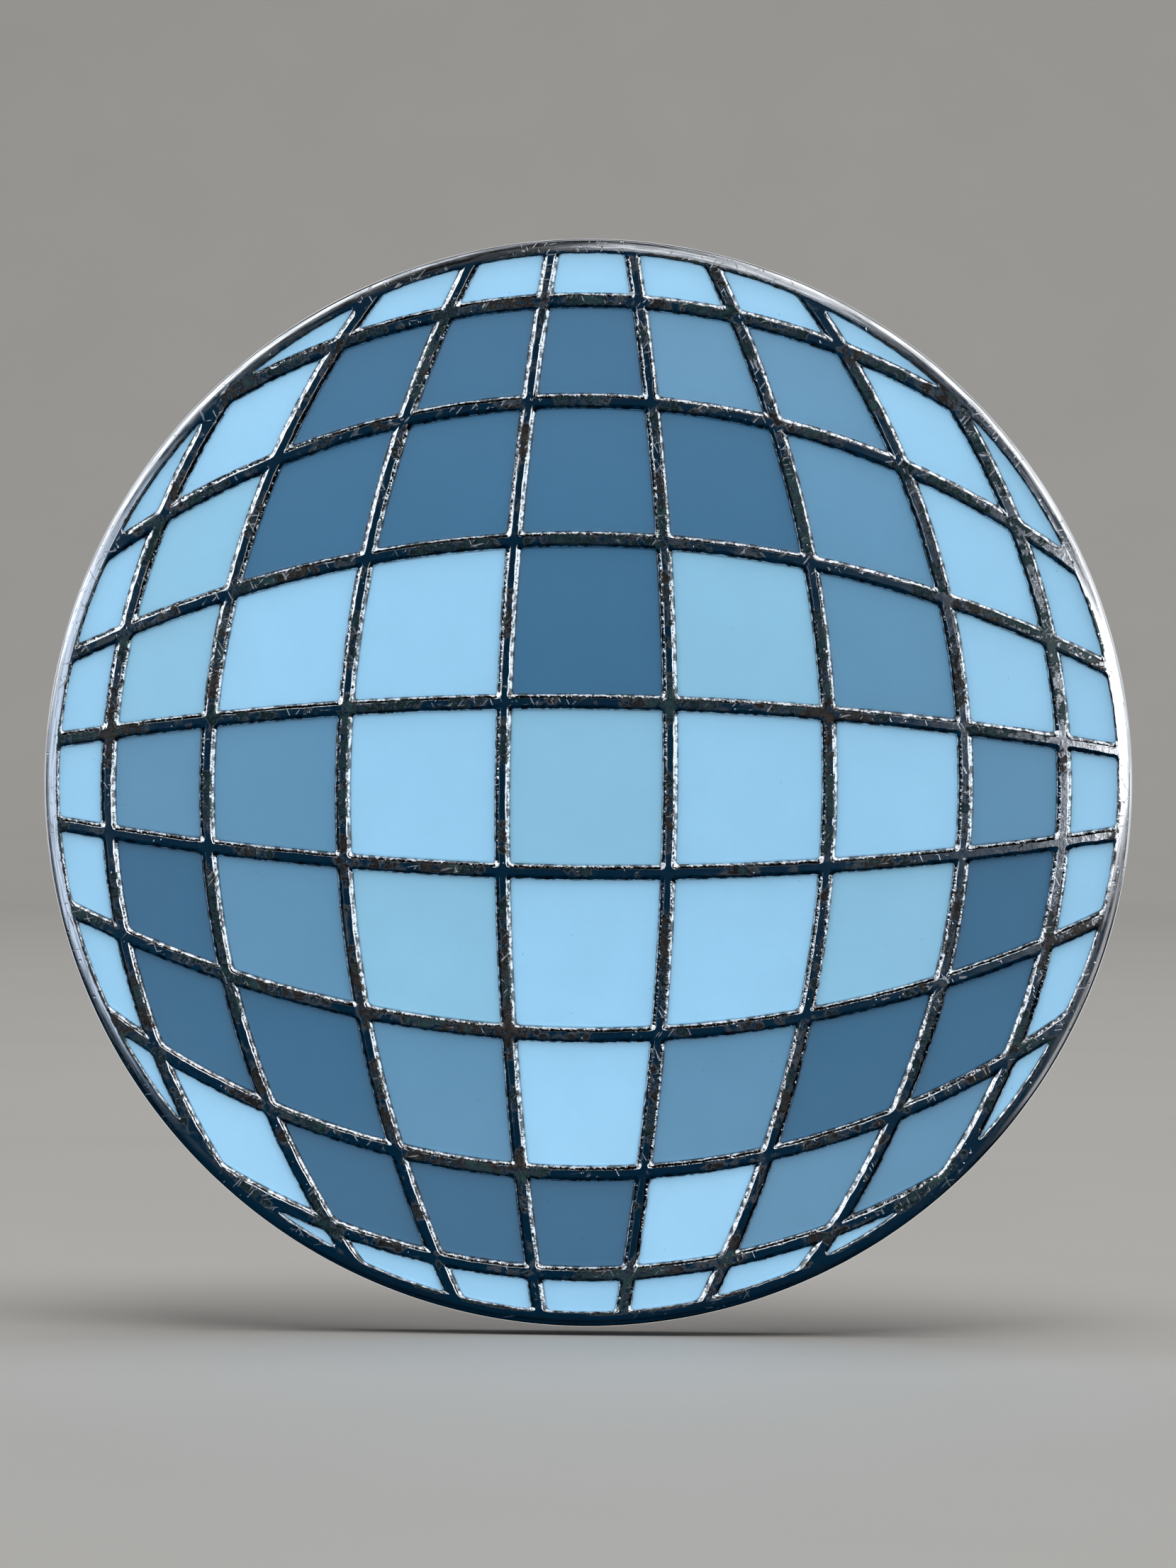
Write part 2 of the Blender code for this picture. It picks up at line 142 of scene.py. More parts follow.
class PinBadgeSizes(bpy.types.PropertyGroup):
    """Sizes of the struck disc and of its enamel"""

    rim_width: length("Rim Width", "From the disc's edge to the outermost cells", 0.53)
    wall_width: length("Wall Width", "From enamel to enamel across a wall", 0.56)
    taper_length: length("Taper Length", "How far from a cell's tip its shoulder takes to open", 0.60)
    pocket_depth: length("Pocket Depth", "From the wall tops down to the pocket floors", 0.50)
    shoulder_width: length("Shoulder Width", "Rounded edge on each side of a wall", 0.17)
    shoulder_drop: length("Shoulder Drop", "Height of that rounded edge", 0.15)
    rim_shoulder: ratio("Rim Shoulder", "Share of the shoulder width on the rim's inner edge", 0.35)
    crown_width: length("Crown Width", "Gently sloping band of the rim", 0.32)
    crown_start: angle("Crown Start", "Tilt of that band at its inner side", 2.0)
    crown_end: angle("Crown End", "Tilt of that band at its outer side", 8.0)
    edge_width: length("Edge Width", "Round outer edge beyond that band", 0.10)
    edge_drop: length("Edge Drop", "Height of the round outer edge", 0.25)
    raggedness: length("Raggedness", "How far the wall edges wander", 0.024)
    corner_softening: count("Corner Softening", "Passes that round the corners of a cell", 1)
    point_spacing: length("Point Spacing", "Between points along an outline", 0.13)
    meniscus_width: length("Meniscus Width", "Band of enamel that creeps up the walls", 0.14)
    meniscus_rise: length("Meniscus Rise", "How far up the walls it creeps", 0.012)
    back_bevel: length("Back Bevel", "Broken edge around the back", 0.12)
    seat_radius: length("Seat Radius", "Shallow round in the back for each post", 2.29)
    seat_depth: length("Seat Depth", "Depth of that round", 0.10)


class PinBadgeHardware(bpy.types.PropertyGroup):
    """Sizes of the posts and of the clutches"""

    post_radius: length("Post Radius", "Radius of a post", 0.575)
    post_height: offset("Post Height", "Height of the posts above the disc's middle", 3.0)
    post_length: length("Post Length", "From the back face to the point", 8.6)
    tip_length: length("Tip Length", "Length of the point", 1.3)
    notch_from_tip: length("Notch From Tip", "From the point to the far edge of the notch", 2.2)
    notch_length: length("Notch Length", "Length of the grip notch", 0.7)
    notch_depth: length("Notch Depth", "Depth of the grip notch", 0.14)
    flange_radius: length("Flange Radius", "Radius of the foot of a post", 1.7)
    flange_top: length("Flange Top", "Height of that foot above the back face", 0.37)
    solder_width: length("Solder Width", "Width of the solder around the foot", 0.55)
    solder_height: length("Solder Height", "Height of the solder at the foot", 0.22)
    plate_thickness: length("Plate Thickness", "Thickness of a clutch plate", 0.40)
    plate_rim: length("Plate Rim", "Height of its turned-up rim", 1.20)
    bore_radius: length("Bore Radius", "Hole for the post", 0.675)
    leaf_thickness: length("Leaf Thickness", "Thickness of the spring leaves", 0.35)
    jaw_gap: length("Jaw Gap", "From the post to a jaw", 0.04)
    jaw_rise: length("Jaw Rise", "From the plate to a jaw", 0.55)
    jaw_half_width: length("Jaw Half Width", "Half the width of a jaw", 0.8)
    waist_half_width: length("Waist Half Width", "Half the width of a leaf at its hinge", 1.5)
    ear_half_width: length("Ear Half Width", "Half the width of an ear", 2.7)
    ear_reach: length("Ear Reach", "From the post's axis to the tip of an ear", 5.2)
    ear_rise: length("Ear Rise", "From the plate to the tip of an ear", 4.9)
    knuckle_radius: length("Knuckle Radius", "Radius of the rolled knuckle", 0.42)
    trunnion_radius: length("Trunnion Radius", "Radius of the hinge ends", 0.28)
    lug_inner: length("Lug Inner", "From the middle to the inner face of a lug", 1.58)
    lug_thickness: length("Lug Thickness", "Thickness of a lug", 0.40)
    lug_margin: length("Lug Margin", "Metal around a hinge hole", 0.65)
    hole_clearance: length("Hole Clearance", "Play around a hinge end", 0.05)


class PinBadgeColours(bpy.types.PropertyGroup):
    """Colours of the metals and of the enamels"""

    nickel: colour("Nickel", "Polished plating on the walls and rim", (0.66, 0.68, 0.72))
    # Painted reflection: these two colours stand in for the surroundings that the mirror wall tops reflect
    brown_painted_reflection: colour("Brown Painted Reflection", "Warm patches on the wall tops", (0.032, 0.028, 0.026))
    green_painted_reflection: colour("Green Painted Reflection", "Cold patches on the wall tops", (0.016, 0.038, 0.042))
    nickel_back: colour("Back Nickel", "Sandblasted plating on the back", (0.50, 0.50, 0.51))
    sky: colour("Sky Enamel", "Lightest enamel", (0.280, 0.555, 0.790))
    mist: colour("Mist Enamel", "Soft grey-blue enamel", (0.235, 0.490, 0.683))
    steel: colour("Steel Enamel", "Middle blue enamel", (0.101, 0.260, 0.420))
    slate: colour("Slate Enamel", "Darkest enamel", (0.036, 0.137, 0.256))
    post: colour("Post Nickel", "Plating on the posts", (0.60, 0.59, 0.57))
    solder: colour("Solder", "Dull solder", (0.42, 0.42, 0.43))
    clutch: colour("Clutch Nickel", "Plating on the clutch plates", (0.64, 0.62, 0.58))
    spring: colour("Spring Nickel", "Plating on the spring leaves", (0.68, 0.67, 0.64))
    floor: colour("Floor", "Plain pale floor", (0.78, 0.77, 0.75))


class PinBadgeStage(bpy.types.PropertyGroup):
    """Camera, floor and lights"""

    camera_distance: length("Camera Distance", "From the front of the disc to the lens", 170.0)
    camera_roll: angle("Camera Roll", "Turn of the camera about its own axis", 0.6)
    frame_height: length("Frame Height", "Height of the view at the disc", 54.83)
    aim_up: offset("Aim Up", "How far above the disc's middle the camera points", -0.05)
    aim_right: offset("Aim Right", "How far to the right of it the camera points", -0.01)
    floor_gap: length("Floor Gap", "From the lowest point of the rim to the floor", 0.3)
    panel_distance: length("Panel Distance", "From the badge to the light panels", 380.0)
    backdrop: ratio("Backdrop", "Brightness of what shows past the edge of the floor", 0.34)


PROPERTY_GROUPS = {
    "pin_badge_grid": PinBadgeGrid,
    "pin_badge_sizes": PinBadgeSizes,
    "pin_badge_hardware": PinBadgeHardware,
    "pin_badge_colours": PinBadgeColours,
    "pin_badge_stage": PinBadgeStage,
}


# Shader expressions


class Wire:
    """A socket that gives a number; arithmetic on it adds Math nodes."""

    def __init__(self, finish, socket):
        self.finish = finish
        self.socket = socket

    def math(self, operation, *others, clamp=False):
        settings = {"operation": operation, "use_clamp": clamp}
        return self.finish.node("Math", settings, dict(enumerate((self, *others))))

    def __add__(self, other):
        return self.math("ADD", other)

    __radd__ = __add__

    def __sub__(self, other):
        return self.math("SUBTRACT", other)

    def __rsub__(self, other):
        return self.math("MULTIPLY_ADD", -1.0, other)

    def __mul__(self, other):
        return self.math("MULTIPLY", other)

    __rmul__ = __mul__

    def __pow__(self, other):
        return self.math("POWER", other)

    def clamped(self):
        return self.math("ADD", 0.0, clamp=True)

    def between(self, low, high):
        """0 below low, 1 above high and a smooth step from one to the other."""
        inputs = {"Value": self, "From Min": low, "From Max": high}
        return self.finish.node("MapRange", {"interpolation_type": "SMOOTHSTEP"}, inputs)

    def to(self, low, high):
        """The same pattern, from low where it was 0 to high where it was 1."""
        return self * (high - low) + low


class Finish:
    """A material under construction around one Principled shader."""

    def __init__(self, name, base, roughness, metallic=0.0):
        self.material = bpy.data.materials.new(name)
        self.material.use_nodes = True
        self.tree = self.material.node_tree
        self.shader = self.tree.nodes["Principled BSDF"]
        self.set("Base Color", base)
        self.set("Roughness", roughness)
        self.set("Metallic", metallic)

    def plug(self, socket, value):
        if isinstance(value, Wire):
            self.tree.links.new(value.socket, socket)
        elif hasattr(value, "__len__") and socket.type == "RGBA":
            socket.default_value = (*value[:3], 1.0)
        else:
            socket.default_value = value

    def set(self, name, value):
        self.plug(self.shader.inputs[name], value)

    def node(self, kind, settings=None, inputs=None, output=0):
        """Adds a node: its settings first, then the value or link of each socket."""
        made = self.tree.nodes.new(f"ShaderNode{kind}")
        for name, value in (settings or {}).items():
            setattr(made, name, value)
        for name, value in (inputs or {}).items():
            self.plug(made.inputs[name], value)
        return Wire(self, made.outputs[output])

    def place(self, stretch=(1.0, 1.0, 1.0), turn=(0.0, 0.0, 0.0), shift=(0.0, 0.0, 0.0)):
        """Position on the piece in millimetres, turned and stretched."""
        where = self.node("TexCoord", output="Object")
        scale = tuple(MM / part for part in stretch)
        origin = tuple(-part * MM for part in shift)
        inputs = {"Vector": where, "Location": origin, "Rotation": turn, "Scale": scale}
        return self.node("Mapping", {"vector_type": "TEXTURE"}, inputs)

    def grain(self, scale, detail=2.0, roughness=0.5, where=None, lift=0.0):
        """Noise with its features at a scale in cycles per millimetre."""
        inputs = {
            "Vector": where or self.place(shift=(lift, lift, lift)),
            "Scale": scale, "Detail": detail, "Roughness": roughness,
        }
        return self.node("TexNoise", inputs=inputs)

    def specks(self, scale, size):
        """1 inside scattered round specks, and 0 around them."""
        inputs = {"Vector": self.place(), "Scale": scale, "Randomness": 1.0}
        return self.node("TexVoronoi", inputs=inputs).between(size, size * 0.5)

    def mix(self, share, first, second):
        """Blend of two colours. The node has sockets of each kind under one name, so they go by number."""
        made = self.tree.nodes.new("ShaderNodeMix")
        made.data_type = "RGBA"
        for number, value in ((0, share), (6, first), (7, second)):
            self.plug(made.inputs[number], value)
        return Wire(self, made.outputs[2])

    def along(self, axis, stretch=(1.0, 1.0, 1.0)):
        """Position along one axis, in millimetres where it isn't stretched."""
        return self.node("SeparateXYZ", inputs={"Vector": self.place(stretch)}, output=axis)

    def relief(self, height, depth):
        """Bump from a height pattern; depth is how deep, in metres, the pattern's range goes."""
        inputs = {"Strength": 1.0, "Distance": depth, "Height": height}
        self.set("Normal", self.node("Bump", inputs=inputs))

    def from_axis(self):
        """Distance in millimetres from the axis through the middle of the badge."""
        x, up = self.along("X"), self.along("Z")
        return (x * x + up * up) ** 0.5

    def streaks_round(self, scale):
        """Noise drawn out along circles around that axis."""
        slow = (0.05, 0.05, 0.05)
        inputs = {"X": self.from_axis(), "Y": self.along("X", slow), "Z": self.along("Z", slow)}
        where = self.node("CombineXYZ", inputs=inputs)
        return self.grain(scale, 2.0, 0.5, where)

    def facing_front(self):
        """1 where the surface is level with the badge's face, falling to 0 on its slopes."""
        normal = self.node("NewGeometry", output="Normal")
        forward = self.node("SeparateXYZ", inputs={"Vector": normal}, output="Y") * -1.0
        return forward.between(0.90, 0.985)


def tinted(base, factor):
    return tuple(min(part * factor, 1.0) for part in base)


def polished_nickel(colours):
    """Mirror plating; inside the rim brown and green patches, a painted reflection, and fine scratches dull
    the wall tops, and painted dark breaks cut up the glints on the slopes.
    """
    finish = Finish("polished_nickel", colours.nickel, 0.10, 1.0)
    level = finish.facing_front()
    slope = 1.0 - level
    rim_start = DISC_HIGH.x / MM - 0.42
    inside = finish.from_axis().between(rim_start + 0.04, rim_start - 0.04)
    # Painted reflection: brown and green patches on the level wall tops, with the metal turned partly off,
    # stand in for the surroundings that those mirror tops reflect
    mottle = finish.grain(4.0, 4.0, 0.7, lift=23.0).between(0.40, 0.60) * level * inside
    brown = finish.grain(0.40, 3.0, 0.6, lift=3.0).between(0.51, 0.63) * mottle
    green = finish.grain(0.55, 3.0, 0.6, lift=17.0).between(0.51, 0.63) * mottle
    worn = finish.grain(0.30, 2.0, 0.5, lift=29.0).between(0.48, 0.60)
    scratches = 0.0
    for turn, lift in ((38.0, 1.0), (-27.0, 7.0), (81.0, 19.0)):
        along = finish.place((1.0, 1.0, 0.12), (0.0, math.radians(turn), 0.0), (lift, lift, lift))
        scratches = finish.grain(12.0, 1.0, 0.5, along).between(0.68, 0.72) + scratches
    scratches = (scratches * worn * level).clamped()
    pits = finish.specks(2.6, 0.14)
    # Painted shade: dark patches in the base colour of the slopes inside the rim break up the glints along
    # the wall edges, in place of reflections that the shoulders miss
    painted_glint_breaks = finish.grain(3.6, 3.0, 0.65, lift=31.0).between(0.44, 0.58) * slope * inside
    streaks = finish.streaks_round(14.0).between(0.42, 0.62) * (1.0 - inside)
    clean = finish.mix(streaks * 0.8, colours.nickel, tinted(colours.nickel, 0.66))
    clean_with_painted_breaks = finish.mix(painted_glint_breaks * 0.85, clean, tinted(colours.nickel, 0.06))
    warm = finish.mix((brown * 4.0).clamped(), clean_with_painted_breaks, colours.brown_painted_reflection)
    cold = finish.mix((green * 4.0).clamped(), warm, colours.green_painted_reflection)
    finish.set("Base Color", finish.mix(scratches * 0.6, cold, tinted(colours.nickel, 0.7)))
    finish.set("Metallic", 1.0 - (brown * 0.9 + green * 0.8).clamped())
    dull = (brown * 0.06 + green * 0.06 + scratches * 0.20 + streaks * 0.06).clamped()
    finish.set("Roughness", dull + finish.grain(2.2, 3.0, lift=9.0).to(0.06, 0.12))
    waves = finish.grain(2.4, 3.0, 0.55) * (slope * 0.9 + 0.1) * (inside * 0.7 + 0.3)
    beads = finish.grain(6.5, 2.0, 0.5, lift=11.0) * (slope * 0.95 + 0.05) * inside
    finish.relief(waves * 0.5 + beads * 0.8 - scratches * 0.05 - pits * 0.10, 0.024 * MM)
    return finish.material


def sandblasted_nickel(colours):
    """Even matt grain over the back."""
    finish = Finish("sandblasted_nickel", colours.nickel_back, 0.42, 1.0)
    patches = finish.grain(0.25, 3.0, 0.5)
    grit = finish.grain(9.0, 2.0, 0.6)
    finish.set("Base Color", finish.mix(patches, tinted(colours.nickel_back, 0.80), colours.nickel_back))
    finish.set("Roughness", patches.to(0.36, 0.50))
    finish.relief(grit + finish.specks(5.0, 0.22) * 0.4, 0.020 * MM)
    return finish.material


def satin_enamel(name, base, painted_sheen_share):
    """Flat satin enamel with faint clouds and dark specks of dust fired in; a painted reflection makes it
    lighter towards the top and darker towards the foot.
    """
    finish = Finish(f"enamel_{name}", base, 0.34)
    clouds = finish.grain(0.55, 3.0, 0.55)
    fine = finish.grain(3.2, 3.0, 0.6, lift=7.0)
    dust = finish.specks(0.85, 0.035)
    # Painted reflection: the colour runs from a darker foot (thick) to a lighter top in place of a sheen of
    # sky; the enamel's depth doesn't change
    height = finish.along("Z").between(-8.0, 14.0)
    thick = finish.mix(clouds, tinted(base, 0.94 - painted_sheen_share), tinted(base, 1.05 - painted_sheen_share))
    painted_sheen_top = finish.mix(clouds, tinted(base, 0.94 + painted_sheen_share), tinted(base, 1.05 + painted_sheen_share))
    shade = finish.mix(height, thick, painted_sheen_top)
    shade = finish.mix(fine * 0.30, shade, tinted(base, 0.90))
    finish.set("Base Color", finish.mix(dust * 0.45, shade, tinted(base, 0.45)))
    finish.set("Roughness", fine.to(0.27, 0.40))
    finish.relief(clouds * 0.8 + fine * 0.2 - dust * 0.3, 0.006 * MM)
    return finish.material


def drawn_nickel(name, base, along, roughness=0.24):
    """Plating over drawn or rolled metal: fine lines along one direction, with a few dull patches."""
    finish = Finish(name, base, roughness, 1.0)
    stretch = [1.0, 1.0, 1.0]
    stretch["XYZ".index(along)] = 0.08
    lines = finish.grain(9.0, 3.0, 0.6, finish.place(tuple(stretch)))
    patches = finish.grain(0.7, 4.0, 0.6, lift=13.0).between(0.48, 0.66)
    finish.set("Base Color", finish.mix(patches, base, tinted(base, 0.84)))
    finish.set("Roughness", lines * 0.14 + patches * 0.14 + (roughness - 0.07))
    finish.relief(lines + finish.specks(3.0, 0.12) * -0.5, 0.006 * MM)
    return finish.material


def dull_solder(colours):
    """Grainy grey solder with small pits."""
    finish = Finish("dull_solder", colours.solder, 0.5, 0.85)
    grains = finish.grain(3.5, 4.0, 0.6)
    finish.set("Base Color", finish.mix(grains, tinted(colours.solder, 0.6), tinted(colours.solder, 1.25)))
    finish.set("Roughness", grains.to(0.34, 0.62))
    finish.relief(grains - finish.specks(4.0, 0.20) * 0.6, 0.05 * MM)
    return finish.material


def pale_floor(colours):
    """Plain painted board."""
    finish = Finish("pale_floor", colours.floor, 0.75)
    grain = finish.grain(0.05, 3.0, 0.5)
    finish.set("Base Color", finish.mix(grain, tinted(colours.floor, 0.97), tinted(colours.floor, 1.03)))
    finish.set("Roughness", grain.to(0.70, 0.80))
    return finish.material


# Surfaces


def front_place(x, up, height):
    """From the badge's own plan, seen from the front, and a height above its back face."""
    return Vector((x, -height, up))


class Surface:
    """Points with their normals, and faces, that become one mesh."""

    def __init__(self, place):
        self.place = place
        self.points = []
        self.normals = []
        self.faces = []
        self.marks = []

    def ring(self, plan, height, slope, outward):
        """Adds a closed ring. slope is the tilt from straight up; outward gives each point's direction."""
        first = len(self.points)
        for (x, up), (dx, dup) in zip(plan, outward):
            self.points.append(self.place(x, up, height))
            tilt = math.sin(slope)
            self.normals.append(self.place(dx * tilt, dup * tilt, math.cos(slope)))
        return list(range(first, len(self.points)))

    def join(self, one, other, mark=0):
        for index, start in enumerate(one):
            after = (index + 1) % len(one)
            self.faces.append((start, one[after], other[after], other[index]))
            self.marks.append(mark)

    def fill(self, loops, mark=0):
        """Closes the flat area inside the first loop and outside the others."""
        flat = [index for loop in loops for index in loop]
        for triangle in tessellate_polygon([[self.points[index] for index in loop] for loop in loops]):
            if len(set(triangle)) == 3:
                self.faces.append(tuple(flat[corner] for corner in triangle))
                self.marks.append(mark)

    def to_object(self, name, materials):
        mesh = bpy.data.meshes.new(name)
        mesh.from_pydata(self.points, [], self.faces)
        mesh.polygons.foreach_set("material_index", self.marks)
        cleaned = bmesh.new()
        cleaned.from_mesh(mesh)
        bmesh.ops.recalc_face_normals(cleaned, faces=cleaned.faces)
        cleaned.to_mesh(mesh)
        cleaned.free()
        mesh.shade_smooth()
        mesh.normals_split_custom_set_from_vertices(self.normals)
        return new_object(name, mesh, materials)


def new_object(name, mesh, materials):
    for material in materials:
        mesh.materials.append(material)
    obj = bpy.data.objects.new(name, mesh)
    bpy.context.scene.collection.objects.link(obj)
    return obj


def circle(radius, steps, centre=(0.0, 0.0)):
    angles = [math.tau * step / steps for step in range(steps)]
    return [(centre[0] + radius * math.cos(a), centre[1] + radius * math.sin(a)) for a in angles]


def rays(steps):
    return circle(1.0, steps)


def outward_of(outline):
    """Unit direction away from the inside of an anticlockwise outline, at each of its points."""
    directions = []
    for index, (x, up) in enumerate(outline):
        before, after = outline[index - 1], outline[(index + 1) % len(outline)]
        along = Vector((after[0] - before[0], after[1] - before[1])).normalized()
        directions.append((along.y, -along.x))
    return directions


def softened(outline, passes):
    """The closed outline with its corners eased."""
    for _ in range(passes):
        eased = []
        for index, (x, up) in enumerate(outline):
            before, after = outline[index - 1], outline[(index + 1) % len(outline)]
            eased.append(((before[0] + 2 * x + after[0]) / 4, (before[1] + 2 * up + after[1]) / 4))
        outline = eased
    return outline


# Mirror-ball grid


class Grid:
    """Cells between arcs that bow outward; lines are numbered -5..5 without 0, and 5 is the rim."""

    def __init__(self, grid, sizes):
        self.balls = {True: grid.ball_radius_across, False: grid.ball_radius_up}
        self.poles = (grid.pole_of_first_line, grid.pole_of_last_line)
        self.shift = (grid.shift_x, grid.shift_up)
        self.step = grid.line_step
        self.rim_reach = grid.rim_reach
        self.radius = DISC_HIGH.x
        self.rim = DISC_HIGH.x - sizes.rim_width
        self.half_wall = sizes.wall_width / 2
        self.taper = sizes.taper_length
        self.spacing = sizes.point_spacing
        self.passes = sizes.corner_softening
        self.rim_share = sizes.rim_shoulder

    def line(self, across, number, side):
        """[x, up, radius] of the circle along one side of a line's wall."""
        order = abs(number)
        if order > LINES_EACH_WAY:
            return [0.0, 0.0, self.rim]
        away = self.balls[across] * math.sin(self.step * (order - 0.5))
        share = (order - 1) / (LINES_EACH_WAY - 1)
        pole = self.poles[0] + (self.poles[1] - self.poles[0]) * share
        radius = (away**2 + pole**2) / (2 * away)
        centre = (away - radius) * (1 if number > 0 else -1)
        x, up = self.shift
        if across:
            return [x + centre, up, radius + side * self.half_wall]
        return [x, up + centre, radius + side * self.half_wall]

    def guess(self, number):
        """About where a line crosses the middle of the badge."""
        reach = min(self.step * (abs(number) - 0.5), self.rim_reach)
        return math.copysign(self.radius * math.sin(reach), number)

    def sides(self, column, row, inset):
        """The four circles around a cell, and the lines that they belong to."""
        found = {}
        for across, index, names in ((True, column, ("left", "right")), (False, row, ("bottom", "top"))):
            low = index - 1 if index <= 0 else index
            high = index if index < 0 else index + 1
            for name, number, is_low in zip(names, (low, high), (True, False)):
                side = 1 if (number > 0) == is_low else -1
                circle_of_line = self.line(across, number, side)
                at_rim = abs(number) > LINES_EACH_WAY and inset < 0.0
                circle_of_line[2] += side * inset * (self.rim_share if at_rim else 1.0)
                found[name] = (circle_of_line, number)
        return found

    def tip_side(self, column, row):
        """The side shrunk to a tip beside a missing corner, where the last wall runs into the rim."""
        if (abs(column), abs(row)) == (LINES_EACH_WAY - 1, LINES_EACH_WAY):
            return "left" if column < 0 else "right"
        if (abs(column), abs(row)) == (LINES_EACH_WAY, LINES_EACH_WAY - 1):
            return "bottom" if row < 0 else "top"
        return None

    def corners(self, sides, tip):
        found = []
        for one, other in (("left", "bottom"), ("right", "bottom"), ("right", "top"), ("left", "top")):
            nearby = Vector((self.guess(sides[one][1]), self.guess(sides[other][1])))
            nearby *= min(1.0, self.radius / nearby.length)
            first, second = one, other
            if tip == one:
                first, second = "bottom", "top"
            if tip == other:
                first, second = "left", "right"
            found.append(crossing(sides[first][0], sides[second][0], nearby))
        return found

    def outline(self, column, row, inset=0.0):
        """Anticlockwise outline of a cell; the same cell has as many points at every inset."""
        ways = ("bottom", "right", "top", "left")
        tip = self.tip_side(column, row)
        widen = tip is not None and inset < 0.0
        at_wall = self.corners(self.sides(column, row, 0.0), tip)
        sides = self.sides(column, row, 0.0 if widen else inset)
        corners = self.corners(sides, tip)
        points = []
        for index, way in enumerate(ways):
            if way == tip:
                continue
            after = (index + 1) % 4
            steps = max(3, round(math.dist(at_wall[index], at_wall[after]) / self.spacing))
            points += arc_points(sides[way][0], corners[index], corners[after], steps)
        if widen:
            points = self.widened(points, corners[ways.index(tip)], -inset)
        return softened(points, self.passes)

    def widened(self, outline, tip, amount):
        """A tapering cell's outline moved outward, but less along the rim and near the tip."""
        moved = []
        for (x, up), (dx, dup) in zip(outline, outward_of(outline)):
            opened = min(1.0, math.dist((x, up), tip) / self.taper)
            if math.hypot(x, up) > self.rim * 0.9999:
                opened = 0.0
            share = amount * (self.rim_share + (1.0 - self.rim_share) * opened)
            moved.append((x + dx * share, up + dup * share))
        return moved

    def cells(self):
        """(column, row, tone letter, name of the CAD fill or None) of every cell."""
        for row_number, letters in enumerate(TONE_ROWS):
            for column_number, letter in enumerate(letters):
                column, row = column_number - LINES_EACH_WAY, LINES_EACH_WAY - row_number
                if letter == ".":
                    continue
                full = max(abs(column), abs(row)) < LINES_EACH_WAY
                name = f"enamel_r{row_number + 1}c{column_number + 1}" if full else None
                yield column, row, letter, name


def crossing(one, other, nearby):
    """Where two circles cross, at the one of the two points nearer to a guess."""
    (x0, y0, r0), (x1, y1, r1) = one, other
    apart = math.hypot(x1 - x0, y1 - y0)
    along = (apart**2 + r0**2 - r1**2) / (2 * apart)
    aside = math.sqrt(max(r0**2 - along**2, 0.0))
    ux, uy = (x1 - x0) / apart, (y1 - y0) / apart
    found = [
        (x0 + along * ux - turn * aside * uy, y0 + along * uy + turn * aside * ux)
        for turn in (1, -1)
    ]
    return min(found, key=lambda point: math.dist(point, nearby))


def arc_points(circle_of_line, start, end, steps):
    x, y, radius = circle_of_line
    first = math.atan2(start[1] - y, start[0] - x)
    last = math.atan2(end[1] - y, end[0] - x)
    turn = (last - first + math.pi) % math.tau - math.pi
    angles = [first + turn * step / steps for step in range(steps)]
    return [(x + radius * math.cos(a), y + radius * math.sin(a)) for a in angles]


# Badge pieces

RIM_POINTS = 540
SEAT_POINTS = 48
SHOULDER_STEPS = 5
SHOULDER_START = math.radians(22.0)
CREASE = 0.004 * MM
CROWN_STEPS = 5
ENAMEL_CLEARANCE = 0.004 * MM
MENISCUS_SHARES = (0.0, 0.22, 0.5, 1.0)


def ragged(outline, amount, height):
    """The outline with each point moved in or out a little, differently at each height."""
    moved = []
    for (x, up), (dx, dup) in zip(outline, outward_of(outline)):
        spot = Vector((x / MM, up / MM, height / MM * 2.0))
        wander = amount * (noise.noise(spot * 2.3) * 0.9 + noise.noise(spot * 6.1) * 0.8)
        moved.append((x + dx * wander, up + dup * wander))
    return moved


def pocket_rings(surface, grid, sizes, column, row, top):
    """Rounded shoulder, wall and floor of one pocket. Returns the ring in the plane of the wall tops."""
    rings = []
    profile = [(-sizes.shoulder_width - CREASE, top, 0.0)]
    width = sizes.shoulder_width / (1.0 - math.sin(SHOULDER_START))
    drop = sizes.shoulder_drop / math.cos(SHOULDER_START)
    for step in range(SHOULDER_STEPS + 1):
        turn = SHOULDER_START + (math.radians(90.0) - SHOULDER_START) * step / SHOULDER_STEPS
        height = top - CREASE * 0.1 - drop * (math.cos(SHOULDER_START) - math.cos(turn))
        slope = math.atan2(drop * math.sin(turn), width * math.cos(turn))
        profile.append((-width * (1.0 - math.sin(turn)), height, slope))
    for step, (inset, height, slope) in enumerate(profile):
        outline = grid.outline(column, row, inset)
        fade = 1.0 - 0.75 * max(step - 1, 0) / SHOULDER_STEPS
        plan = ragged(outline, sizes.raggedness * fade, height)
        inward = [(-dx, -dup) for dx, dup in outward_of(outline)]
        rings.append(surface.ring(plan, height, slope, inward))
    outline = grid.outline(column, row)
    inward = [(-dx, -dup) for dx, dup in outward_of(outline)]
    rings.append(surface.ring(outline, top - sizes.pocket_depth, math.radians(80.0), inward))
    for one, other in zip(rings, rings[1:]):
        surface.join(one, other)
    surface.fill([rings[-1]])
    return rings[0]


